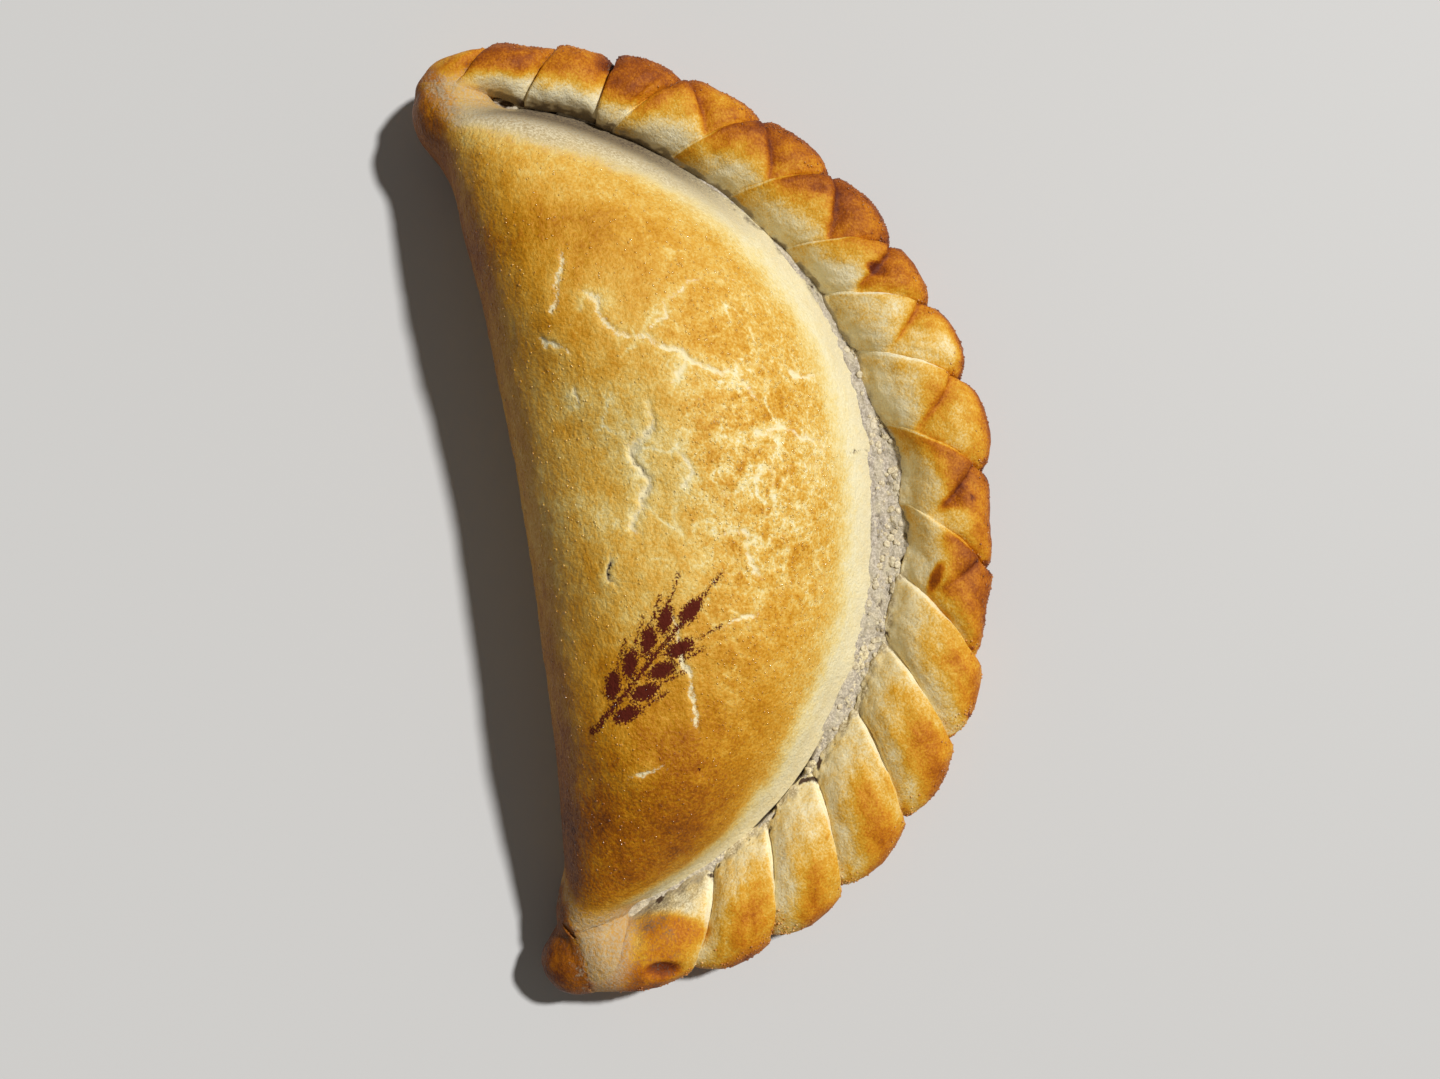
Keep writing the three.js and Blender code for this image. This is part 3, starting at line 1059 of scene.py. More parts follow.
    def bake(self, place: DomePlace, skin: DomeSkin, edge: Array) -> Array:
        """Works out how brown the top is.

        Args:
            place: Where the points lie.
            skin: What shows in the skin.
            edge: How far inwards from the foot they are.

        Returns:
            The bake mark of each point.
        """
        across = curve(place.share, self.bake_across) * (1 - self.less_across.at(place.x))
        bake = curve(place.x, self.bake_along) + across
        bake += layered(self.blotches, place.flat) + layered(self.toned, place)
        bake -= self.halo_pallor * skin.halo + self.cracks.pallor * skin.cracks
        crazing = self.crazed_bake + self.cluster_bake.at(skin.clusters)
        crazing -= sum(web.pallor * lines for web, lines in zip(self.webs, skin.webs))
        bake += skin.crazed * crazing + self.streaks.at(place.flat) * self.streaks_across.at(place.share)
        bake = lerp(self.edge_bake, bake, lerp(self.edge_least, 1, self.edge_fades.at(edge)))
        left = lerp(*self.foot_bake, self.foot_bake_deg.at(place.deg))
        return bake * lerp(left, 1, self.foot_bake_fades.at(edge))

    def shade(self, place: DomePlace) -> Array:
        """Works out the shade painted beside the seal: a ragged dark seam line, and a darker foot towards the
        +X tip.

        Args:
            place: Where the points lie.

        Returns:
            The shade mark of each point, without the splits.
        """
        seam = self.seam_patches.at(place.flat) * self.seam_deg.at(place.deg)
        seam *= self.seam_width.at(place.from_foot + self.seam_waver.at(place.flat))
        return np.maximum(self.seam_shade * seam, self.foot_shade.at(place))

    def marks(self, place: DomePlace, skin: DomeSkin) -> dict[Mark, Array]:
        """Works out the marks for the finish.

        Args:
            place: Where the points lie.
            skin: What shows in the skin.

        Returns:
            The marks, with a value for each point.
        """
        flat, top, edge = place.flat, place.top, self.edge(place)
        flour = curve(place.deg, self.flour_round) * (
            1 - self.flour_edge.at(edge - self.flour_wider.at(place.deg)))
        fleck = self.fleck + self.crazed_fleck * skin.crazed + self.fleck_left.at(place.x)
        crumb = np.maximum(skin.crazed * self.web_crumb * skin.webs[0], self.crack_crumb * skin.cracks)
        scorch = np.maximum(
            self.ear.inside(warp(flat, *self.ear_waver)), self.speck_scorch * skin.specks + UNSCORCHED)
        cover = self.cover_from_foot.at(place.from_foot) * (self.cover + self.crazed_cover * skin.crazed)
        return {
            Mark.BAKE: np.where(
                top, self.bake(place, skin, edge), self.under_bake + self.under_blotches.at(flat)),
            Mark.FLECK: self.fleck_fades.at(edge) * fleck,
            Mark.FLOUR: np.where(top, flour, self.under_flour),
            Mark.SPLIT: np.maximum(skin.lips, crumb),
            Mark.SHADE: np.maximum(skin.dark, top * self.shade(place)),
            Mark.SCORCH: np.where(top, scorch, UNSCORCHED),
            Mark.COVER: top * cover * (1 - skin.lips),
        }


@dataclass(frozen=True)
class Dome:
    """The crust over the filling."""

    pastry: Pastry
    height: float = 28.5
    first_deg: float = 7.5
    last_deg: float = 172.0
    fold_edge_y: float = 30.8
    fold_edge_deepest_x: float = -8.4
    fold_edge_hollow: float = 3.2
    fold_edge_half_length: float = 56.0
    crest_share: float = 0.4
    bulge_height: float = 11.0
    foot_height: float = 4.6
    tip_height: float = 8.0
    end_slope: Pair = (3.0, 0.7)
    fold_curve: Pair = (2.35, 0.52)
    seal_curve: Pair = (2.05, 0.93)
    lump_height: float = 0.6
    lump_spacing: Pair = (57.0, 48.0)
    lump_phase: Pair = (0.7, -0.4)
    small_lump_height: float = 0.36
    small_lump_spacing: Pair = (30.0, 37.0)
    underside_dip: float = 1.5
    underside_squareness: float = 6.0
    tip_underside: float = 1.5
    tip_underside_girth: float = 0.3
    stations: int = 410
    top_points: int = 226
    under_points: int = 14
    tip_fillet: float = 5.0
    tip_reach: float = 6.0
    foot_fillet: float = 3.4
    seal_side: float = 0.5  # the share of the width beyond which the foot swells into the rim
    end_pace: float = 0.25  # how far apart, as a share, sections stand at the ends
    measuring_steps: tuple[int, int] = (2000, 900)  # along the arc and across the top
    tones: DomeTones = DomeTones()

    def station_angles(self) -> Array:
        """Spaces the sections so that the mesh is even.

        Returns:
            Their angles round the arc, in radians.
        """
        angle = np.radians(np.linspace(self.first_deg, self.last_deg, self.measuring_steps[0]))
        pace = (1 - self.end_pace) * np.sin(angle) + self.end_pace
        run = np.concatenate([[0], np.cumsum((pace[1:] + pace[:-1]) / 2)])
        return np.interp(np.linspace(0, run[-1], self.stations), run, angle)

    def top_shape(self, share: Array) -> Array:
        """Shapes the top between its sides and its crest.

        Args:
            share: Shares of the width from the folded edge.

        Returns:
            How high it stands there, as a share of the crest's height above the side.
        """
        on_fold_side = share < self.crest_share
        steepness = np.where(on_fold_side, self.fold_curve[0], self.seal_curve[0])
        roundness = np.where(on_fold_side, self.fold_curve[1], self.seal_curve[1])
        flank = np.where(on_fold_side, self.crest_share, 1 - self.crest_share)
        away = np.abs(share - self.crest_share) / flank
        return np.maximum(0, 1 - away**steepness) ** roundness

    def filling_lumps(self, x: Array, y: Array) -> Array:
        """Makes low swellings where the filling pushes the dough up.

        Args:
            x: Places along the pastry, in mm.
            y: Places across it, in mm.

        Returns:
            Their heights, in mm.
        """
        turn = 2 * math.pi
        along = np.sin(turn * x / self.lump_spacing[0] + self.lump_phase[0])
        across = np.cos(turn * y / self.lump_spacing[1] + self.lump_phase[1])
        small = np.sin(turn * (x / self.small_lump_spacing[0] - y / self.small_lump_spacing[1]))
        return self.lump_height * along * across + self.small_lump_height * small

    def rings(self) -> tuple[Array, Array]:
        """Lays out the sections across the dome.

        Returns:
            Their points by section and place, and each point's share of the width from the
            folded edge.
        """
        angle = self.station_angles()[:, None]
        foot = self.pastry.on_arc(self.pastry.seal_radius - self.pastry.rim_half_width(angle), angle, 0.0)
        x, foot_y = foot[..., 0], foot[..., 1]
        from_deepest = (x - self.fold_edge_deepest_x) / self.fold_edge_half_length
        fold_y = self.fold_edge_y + self.fold_edge_hollow * from_deepest**2
        girth = (1 - np.abs(np.cos(angle)) ** self.end_slope[0]) ** self.end_slope[1]
        crest = lerp(self.tip_height, self.height, girth)
        bulge = lerp(self.tip_height / 2, self.bulge_height, girth)
        girth_below = np.minimum(1, girth / self.tip_underside_girth)
        bottom = lerp(self.tip_underside, -self.underside_dip, girth_below)
        foot_z = np.minimum(self.foot_height, bulge)

        def top(share: Array) -> tuple[Array, Array]:
            """Works out the top of the dome.

            Args:
                share: Shares of the width.

            Returns:
                The places across and the heights there.
            """
            y = lerp(fold_y, foot_y, share)
            edge = lerp(bulge, foot_z, share)
            rise = crest + girth * self.filling_lumps(x, y) - edge
            return y, edge + rise * self.top_shape(share)

        dense = (1 - np.cos(np.linspace(0, math.pi, self.measuring_steps[1]))) / 2
        y, z = top(dense[None, :])
        steps = np.hypot(np.diff(y, axis=1), np.diff(z, axis=1))
        run = np.concatenate([np.zeros((len(x), 1)), np.cumsum(steps, axis=1)], axis=1)
        even = np.linspace(0, 1, self.top_points, endpoint=False)
        shares = np.stack([np.interp(even * r[-1], r, dense) for r in run])
        y, z = top(shares)
        under = (1 + np.cos(math.pi * np.arange(self.under_points) / self.under_points)) / 2 + 0 * x
        roundness = np.sqrt(1 - np.abs(2 * under - 1) ** self.underside_squareness)
        edge = lerp(bulge, foot_z, under)
        under_z = edge - (edge - bottom) * roundness
        all_y = np.concatenate([y, lerp(fold_y, foot_y, under)], axis=1)
        all_z = np.concatenate([z, under_z], axis=1)
        return np.stack([x + 0 * all_y, all_y, all_z], -1), np.concatenate([shares, under], axis=1)

    def surface(self, tips: list[Surface]) -> Surface:
        """Makes the dome with its lumps, its splits and its marks, settled on the table.

        Args:
            tips: The tips' bare surfaces, which it is run into.

        Returns:
            The dome.
        """
        rings, share = self.rings()
        made = loft(rings)
        top = np.broadcast_to(np.arange(rings.shape[1]) < self.top_points, rings.shape[:2])
        flat = made.points.copy()
        radius, deg = self.pastry.arc_place(flat)
        from_foot = self.pastry.seal_radius - self.pastry.rim_half_width(np.radians(deg)) - radius
        place = DomePlace(flat, with_ends(top), with_ends(share), deg, from_foot)
        skin = self.tones.skin(place)
        foot_swell = fillet(flat[:, 2] - self.pastry.rim_top, self.foot_fillet)
        foot_swell *= place.top * (place.share > self.seal_side)
        made.join(tips, self.tip_fillet, self.pastry.tip_reach(flat))
        joined = made.points
        relief = foot_swell + self.tones.relief(place, skin)
        made.raise_by(self.pastry.wrinkled(joined, relief, self.tip_reach))
        made.marks = self.tones.marks(place, skin)
        self.pastry.pinched(joined, made.marks, self.tip_reach)
        made.points = self.pastry.settle(made.points)
        return made


# ---- Rim ------------------------------------------------------------------------------------


@dataclass
class RimPlace:
    """Where the points of the rim lie."""

    flat: Array  # in mm, before the surface swells
    drawn: Array  # the same, drawn out along the rim as the torn dough was
    deg: Array  # their angle round the arc
    half: Array  # half the rim's width there, in mm
    from_foot: Array  # how far from the dome's foot they are, in mm
    from_rope: Array  # how far from the rope they are, in mm


@dataclass(frozen=True)
class RimTones:
    """How the lip tore, how flour lies on it, and where shade is painted on it."""

    torn_waver: tuple[float, float, int] = (3.0, 0.5, 91)
    torn_lines: Noise = Noise(1.9, 92, 2)
    torn_width: Ease = Ease(0.14, 0)
    torn_patches: Patches = Patches(Noise(5.0, 93), Ease(-0.3, 0.3))
    torn_sink: float = 0.3
    torn_shade: float = 0.5
    gap_waver: Noise = Noise(4.0, 94, 2, 0.3)
    gap: Hump = Hump(0.5, 0.42)
    slot_deg: tuple[Ease, Ease] = (Ease(128, 134), Ease(152, 145))
    slot_sink: float = 1.6
    seam_patches: Patches = Patches(Noise(2.6, 95, 2), Ease(-0.5, 0.2))
    seam_round: Knots = (
        (0, 0.8), (40, 0.7), (70, 0.5), (95, 0.4), (120, 0.3), (160, 0.5), (180, 0.7),
    )
    seam_sink: float = 0.35
    seam_shade: float = 0.5
    pit_waver: Noise = Noise(3.0, 96, 1, 0.4)
    # Painted shade in a groove beside the rope, which is also sunk.
    painted_shade: Hump = Hump(0.2, 0.6)
    pit_patches: Patches = Patches(Noise(2.4, 97), Ease(0.1, 0.5))
    pit_sink: float = 0.7
    pit_shade: float = 0.8
    rubble: Noise = Noise(1.5, 21, 3)
    rubble_width: Ease = Ease(0.5, 1.6, 0.34)
    grain: Noise = Noise(0.9, 22, 2, 0.12)
    lowered: Ease = Ease(45, 30, 0.5)
    blotch: Noise = Noise(1.8, 98, 3)
    bake: Pair = (0.12, 0.05)  # the mean, and how much the blotches change it
    flour: Pair = (0.85, 0.2)
    fleck: float = 0.5
    crumb: Ease = Ease(0.3, 0.8, 0.45)
    crumb_deg: Ease = Ease(100, 120, 0.3)
    blotch_shade: Ease = Ease(0.1, 0.7, 0.2)
    # Painted shade, dimming the first half of the arc.
    dim_deg: Ease = Ease(88, 60, 0.06)
    cover_width: Ease = Ease(1, 2)
    cover_from_foot: Ease = Ease(0.5, 1.2)
    cover_from_rope: Ease = Ease(-0.2, 0.5)

    def apply(self, place: RimPlace) -> tuple[Array, dict[Mark, Array]]:
        """Works out the lip's relief and its marks for the finish.

        Args:
            place: Where the points lie.

        Returns:
            How high each point stands, in mm, and the marks.
        """
        flat, deg = place.flat, place.deg
        lines = np.abs(self.torn_lines.at(warp(place.drawn, *self.torn_waver)))
        torn = self.torn_width.at(lines) * self.torn_patches.at(flat)
        gap_here = self.gap.at(place.from_foot + self.gap_waver.at(flat))
        slot = gap_here * self.slot_deg[0].at(deg) * self.slot_deg[1].at(deg)
        seam = gap_here * self.seam_patches.at(flat) * curve(deg, self.seam_round)
        painted_shade = self.painted_shade.at(place.from_rope + self.pit_waver.at(flat)) * self.pit_patches.at(flat)
        relief = self.rubble_width.at(place.half) * self.rubble.at(place.drawn) + self.grain.at(flat)
        relief -= self.torn_sink * torn + self.slot_sink * slot + self.pit_sink * painted_shade
        relief -= self.seam_sink * seam + self.lowered.at(deg)
        blotch = self.blotch.at(place.drawn)
        # Painted shade: in the torn lines, the slot, the groove beside the rope and along the seam, and
        # dimmer over the first half of the arc; the blotches darken it at random.
        shade = self.torn_shade * torn + slot + self.pit_shade * painted_shade + self.seam_shade * seam
        shade += self.blotch_shade.at(-blotch) + self.dim_deg.at(deg)
        cover = self.cover_from_foot.at(place.from_foot) * self.cover_from_rope.at(place.from_rope)
        return relief, {
            Mark.BAKE: self.bake[0] + self.bake[1] * blotch,
            Mark.FLECK: np.full(len(flat), self.fleck),
            Mark.FLOUR: np.clip(self.flour[0] + self.flour[1] * blotch, 0, 1),
            Mark.SPLIT: self.crumb.at(blotch) + self.crumb_deg.at(deg),
            Mark.SHADE: np.clip(shade, 0, 1),
            Mark.SCORCH: np.full(len(flat), UNSCORCHED),
            Mark.COVER: self.cover_width.at(place.half) * cover,
        }


@dataclass(frozen=True)
class Rim:
    """The sealed lip: a floury, torn band from under the dome to the heart of the rope."""

    pastry: Pastry
    bottom: float = 1.2
    tuck: float = 7.0
    first_deg: float = 5.0
    last_deg: float = 175.0
    stations: int = 760
    points_across: int = 60
    foot_fillet: float = 3.4
    foot_slope: float = 0.84  # how fast the dome's foot rises, for the fillet into it
    rope_fillet: float = 1.6
    drawn_out: float = 2.6  # how much longer than wide its torn shreds are
    tones: RimTones = RimTones()

    def surface(self) -> Surface:
        """Makes the band, with its floury top finely divided.

        Returns:
            The rim.
        """
        angle = np.radians(np.linspace(self.first_deg, self.last_deg, self.stations))[:, None]
        across = np.linspace(0, 1, self.points_across)[None, :]
        inner = self.pastry.seal_radius - self.tuck * np.sin(angle)
        outer = self.pastry.rope_section(angle)[0]
        top = self.pastry.on_arc(lerp(inner, outer, across), angle, self.pastry.rim_top)
        low = self.pastry.on_arc(lerp(outer, inner, np.array([[0.0, 1.0]])), angle, self.bottom)
        made = loft(np.concatenate([top, low], axis=1))
        flat = made.points.copy()
        radius, deg = self.pastry.arc_place(flat)
        half = self.pastry.rim_half_width(np.radians(deg))
        from_foot = radius - (self.pastry.seal_radius - half)
        from_rope = self.pastry.seal_radius + half - radius
        along = np.radians(deg) * self.pastry.seal_radius / self.drawn_out
        drawn = np.stack([along, radius, 0 * deg], -1)
        relief, marks = self.tones.apply(RimPlace(flat, drawn, deg, half, from_foot, from_rope))
        relief += fillet(from_foot * self.foot_slope, self.foot_fillet)
        made.raise_by(relief + fillet(from_rope, self.rope_fillet))
        made.marks = marks
        made.points = self.pastry.settle(made.points)
        return made


# ---- Crimp ----------------------------------------------------------------------------------


@dataclass(frozen=True)
class Spot:
    """An oval place on the rope that baked otherwise: its middle and half sizes seen from above."""

    at: Pair
    size: Pair
    heading_deg: float
    bake: float
    sink: float = 0.0
    edge: Pair = (0.55, 1.2)  # between which shares of its size it fades out

    def strength(self, points: Array) -> Array:
        """Tells how far points belong to it.

        Args:
            points: Points in mm.

        Returns:
            The shares, from 0 to 1.
        """
        away = points[:, :2] - self.at
        turn = math.radians(self.heading_deg)
        along = away @ (math.cos(turn), math.sin(turn)) / self.size[0]
        across = away @ (-math.sin(turn), math.cos(turn)) / self.size[1]
        return 1 - smooth(np.hypot(along, across), *self.edge)


@dataclass
class RopePlace:
    """Where the points of the rope lie."""

    flat: Array  # in mm, before the surface swells
    twist: Array  # the number of their twist
    share: Array  # their share of the twist's width, from the crease before it to its own
    turn: Array  # their turn round the section in degrees: 0 is outermost, 180 at the seal
    deg: Array  # their angle round the arc at the rope's outer edge
    wavering: Array  # their turn, unevenly shifted
    folded: Array  # how strongly their twist is folded, from 0 to 1
    beside: Array  # how far they turn inwards from their twist's fold, in degrees
    back: Array  # how high their twist's back stands, from 0 at a crease to 1


@dataclass(frozen=True)
class RopeTones:
    """How the rope's skin browned, wrinkled, tore and caught flour, and where shade and a highlight are
    painted on it.

    A name that ends in turn or deg is read at the turn round the section or the angle round the
    arc, in degrees.
    """

    blotches: tuple[Noise, ...] = (Noise(5.0, 113, 2, 0.1), Noise(2.2, 111, 3, 0.09))
    twist_luck: Triple = (0.06, 2.4, 1.0)  # amount, step and start of a sine
    streaks: Noise = Noise(1.6, 119, 3, 0.08)
    streak_spacing: Pair = (1.2, 45.0)
    least_and_most: Pair = (0.03, 1.4)
    spots: tuple[Spot, ...] = (
        Spot((-61.6, 18.8), (5.8, 2.8), 78, 0.74),
        Spot((-67.1, 20.5), (2.6, 1.3), 78, 1.25, 0.9),
        Spot((64.3, 9.0), (2.4, 1.8), 120, 1.12, 0.3),
        Spot((28.8, -24.9), (1.8, 1.1), 60, 1.04, 0.2),
        Spot((42.0, -17.9), (1.6, 1.0), 60, 0.98, 0.1),
        Spot((-9.0, -30.6), (3.4, 2.2), 80, 0.42),
        Spot((-6.0, -27.0), (6.5, 2.4), 0, 0.24),
        Spot((-16.6, -26.8), (2.6, 0.9), 150, 0.98),
        Spot((-6.0, -33.7), (0.4, 0.35), 0, 1.3),
        Spot((-37.7, -29.0), (0.9, 0.4), 30, 1.3),
    )

    # Folded twists are a brown lobe outside their fold, and a paler pillow inside it.
    lobe: tuple[Layer, ...] = (
        Layer(0.84),
        Layer(0.2, turn=Ease(45, 0)),
        Layer(-0.14, share=Ease(0.55, 1)),
        Layer(0.12, deg=Hump(61, 7)),
        Layer(-0.5, turn=Ease(15, 45), deg=Hump(79, 5)),
        Layer(-0.24, turn=Ease(15, 45), deg=Hump(89, 5)),
    )
    pillow: tuple[Layer, ...] = (
        Layer(0.18),
        Layer(0.44, wavering=Ease(132, 76)),
        Layer(-0.4, wavering=Ease(132, 76), deg=Hump(77, 9)),
        Layer(0.34, share=Ease(0.5, 0.05)),
        Layer(-0.34, share=Ease(0.5, 0.05), deg=Hump(77, 9)),
        Layer(-0.16, share=Hump(0.72, 0.2)),
    )
    outside_fold: Layer = Layer(beside=Ease(8, -5))
    pale_crease: Layer = Layer(-0.34, share=Hump(0.02, 0.03), turn=Ease(20, 45))

    # The first twists, before the folded ones, are the brownest.
    early: tuple[Layer, ...] = (
        Layer(0.06),
        Layer(0.86, wavering=Ease(136, 80)),
        Layer(0.1, wavering=Ease(136, 80), deg=Ease(20, 12)),
        Layer(-0.14, share=Hump(0.93, 0.12)),
        Layer(-0.1, deg=Hump(22, 2.5), turn=Ease(40, 60)),
    )
    start_bake: float = 0.5
    start: Layer = Layer(0.8, deg=Ease(12, 8))

    # The plump twists of the second half are pale at their creases, with a brown patch between; the paler
    # edge where each starts is a painted highlight, and the last twist's outer side is browner with painted
    # shade.
    plump: tuple[Layer, ...] = (
        Layer(0.17),
        Layer(0.54, share=Hump(0.42, 0.36), wavering=Ease(138, 76)),
        Layer(0.22, share=Hump(0.45, 0.5), wavering=Ease(62, 10)),
        # Painted highlight along the edge where each twist starts, over the one before.
        Layer(-0.3, share=Hump(0.03, 0.05), turn=Ease(10, 40)),
        # Painted shade: the last twist's outer side is browner.
        Layer(0.16, deg=Ease(161, 168), turn=Ease(120, 70)),
    )
    outside_bake: float = 0.72
    outside: Layer = Layer(0.8, turn=Ease(25, -20))
    plump_deg: Ease = Ease(60, 110)

    # Darker along the folds, and the notches of the creases at the outer edge: browner there, with painted
    # shade in them.
    fold_lines: tuple[Hump, Hump] = (Hump(0, 2.6, 0.3), Hump(4, 12, 0.16))
    notch_turn: tuple[Ease, Ease] = (Ease(75, 20), Ease(-60, -20))
    notch: tuple[Hump, Hump] = (Hump(0, 0.12), Hump(1, 0.12))
    notch_patches: Patches = Patches(Noise(2.0, 118, 2), Ease(-0.5, 0.3))
    notch_bake: float = 0.4
    # Painted shade in the notches.
    notch_shade: float = 0.25
    notch_cover: float = 2.0
    under_turn: Ease = Ease(-25, -70)
    under_share: float = 0.85
    fleck: float = 0.45
    outer_fleck: float = 0.5
    outer_fleck_turn: Ease = Ease(40, 10)

    # The inner side, torn and floured. Painted shade lies on it where the dome shades it, along the seam, on
    # the end of each unfolded twist that the next one covers and over the last twists; grey flour is laid
    # over that shade too.
    rough: Noise = Noise(1.8, 116, 3)
    inner_turn: Ease = Ease(146, 172)
    inner_flour: Pair = (0.55, 0.4)
    torn: Layer = Layer(turn=Ease(138, 168), deg=Ease(104, 130))
    torn_relief: Noise = Noise(1.6, 33, 3)
    torn_height: float = 0.3
    torn_flour: Ease = Ease(-0.2, 0.5)
    torn_crumb: Ease = Ease(0.2, 0.7)
    torn_crumb_share: float = 0.6
    torn_shade: Ease = Ease(0.25, 0.7)
    # Painted shade on the inner side in the first half, and on the last twists' inner side.
    shaded: tuple[Layer, ...] = (
        Layer(0.4, turn=Ease(142, 172), deg=Ease(86, 70)),
        Layer(0.55, turn=Ease(95, 150), deg=Ease(150, 158)),
    )
    # Painted shade on the end of each unfolded twist that the next one covers.
    shaded_end: Ease = Ease(0.86, 1, 0.6)
    # Painted shade and grey flour along the seam, and over the last twist.
    seam_waver: float = 20.0
    seam_turn: Ease = Ease(150, 165)
    seam_deg: Ease = Ease(92, 74)
    last_deg: Ease = Ease(161, 167)
    last_shade_levels: Pair = (0.6, 0.4)
    flours: Triple = (0.5, 0.6, 0.34)  # grey flour over the painted shade, along the seam and over the last twist
    # Painted shade over the same three.
    shades: Triple = (0.4, 0.42, 0.46)
    waves: tuple[Noise, ...] = (Noise(5.0, 31, 2, 0.16), Noise(1.4, 32, 2, 0.07))
    cover_turn: tuple[Ease, Ease] = (Ease(55, 25), Ease(-40, -10))
    cover_patches: Patches = Patches(Noise(7.0, 117), Ease(-0.3, 0.5))

    def wrinkles(self, place: RopePlace) -> Array:
        """Fine wrinkles that run across the rope, as the dough was drawn out over it."""
        ways = [place.deg * self.streak_spacing[0], place.turn / self.streak_spacing[1], 0 * place.deg]
        return self.streaks.at(np.stack(ways, -1))

    def relief(self, place: RopePlace) -> Array:
        """Works out the skin's fine relief.

        Args:
            place: Where the points lie.

        Returns:
            How high it stands at each point, in mm.
        """
        relief = layered(self.waves, place.flat) + self.wrinkles(place)
        relief += self.torn.at(place) * self.torn_height * self.torn_relief.at(place.flat)
        return relief - sum(spot.sink * spot.strength(place.flat) for spot in self.spots)

    def bake(self, place: RopePlace) -> Array:
        """Works out how brown the rope is, but for its notches and the edges of its folds.

        Args:
            place: Where the points lie.

        Returns:
            The bake of each point.
        """
        early = lerp(layered(self.early, place), self.start_bake, self.start.at(place))
        plump = lerp(layered(self.plump, place), self.outside_bake, self.outside.at(place))
        folded = lerp(layered(self.pillow, place), layered(self.lobe, place), self.outside_fold.at(place))
        folded += self.pale_crease.at(place)
        bake = lerp(lerp(early, plump, self.plump_deg.at(place.deg)), folded, place.folded)
        amount, step, start = self.twist_luck
        bake += amount * np.sin(step * place.twist + start)
        bake += layered(self.blotches, place.flat) + self.wrinkles(place)
        for spot in self.spots:
            bake = lerp(bake, spot.bake, spot.strength(place.flat))
        return bake

    def marks(self, place: RopePlace) -> dict[Mark, Array]:
        """Works out the marks for the finish.

        Args:
            place: Where the points lie.

        Returns:
            The marks, with a value for each point.
        """
        share, turn, deg = place.share, place.turn, place.deg
        rough, torn = self.rough.at(place.flat), self.torn.at(place)
        fold_lines = place.folded * place.back * sum(hump.at(place.beside) for hump in self.fold_lines)
        notch = self.notch_turn[0].at(turn) * self.notch_turn[1].at(turn)
        notch *= np.maximum(*(hump.at(share) for hump in self.notch)) * self.notch_patches.at(place.flat)
        shaded = layered(self.shaded, place) + self.shaded_end.at(share) * (1 - place.folded)
        seam = self.seam_turn.at(turn + self.seam_waver * rough) * self.seam_deg.at(deg)
        last = self.last_deg.at(deg) * (self.last_shade_levels[0] + self.last_shade_levels[1] * rough)
        shade_masks = (shaded, seam, last)
        flour = self.inner_turn.at(turn) * (self.inner_flour[0] + self.inner_flour[1] * rough)
        flour += torn * self.torn_flour.at(rough)
        flour += sum(amount * shade_mask for amount, shade_mask in zip(self.flours, shade_masks))
        shade = torn * self.torn_shade.at(-rough) + self.notch_shade * notch
        shade += sum(amount * shade_mask for amount, shade_mask in zip(self.shades, shade_masks))
        bake = np.clip(self.bake(place) + fold_lines + self.notch_bake * notch, *self.least_and_most)
        cover = self.cover_turn[0].at(turn) * self.cover_turn[1].at(turn) * self.cover_patches.at(place.flat)
        return {
            Mark.BAKE: bake * lerp(1, self.under_share, self.under_turn.at(turn)),
            Mark.FLECK: self.fleck + self.outer_fleck * np.maximum(notch, self.outer_fleck_turn.at(turn)),
            Mark.FLOUR: np.clip(flour, 0, 1),
            Mark.SPLIT: torn * self.torn_crumb.at(rough) * self.torn_crumb_share,
            Mark.SHADE: np.clip(shade, 0, 1),
            Mark.SCORCH: np.full(len(turn), UNSCORCHED),
            Mark.COVER: cover + self.notch_cover * notch,
        }


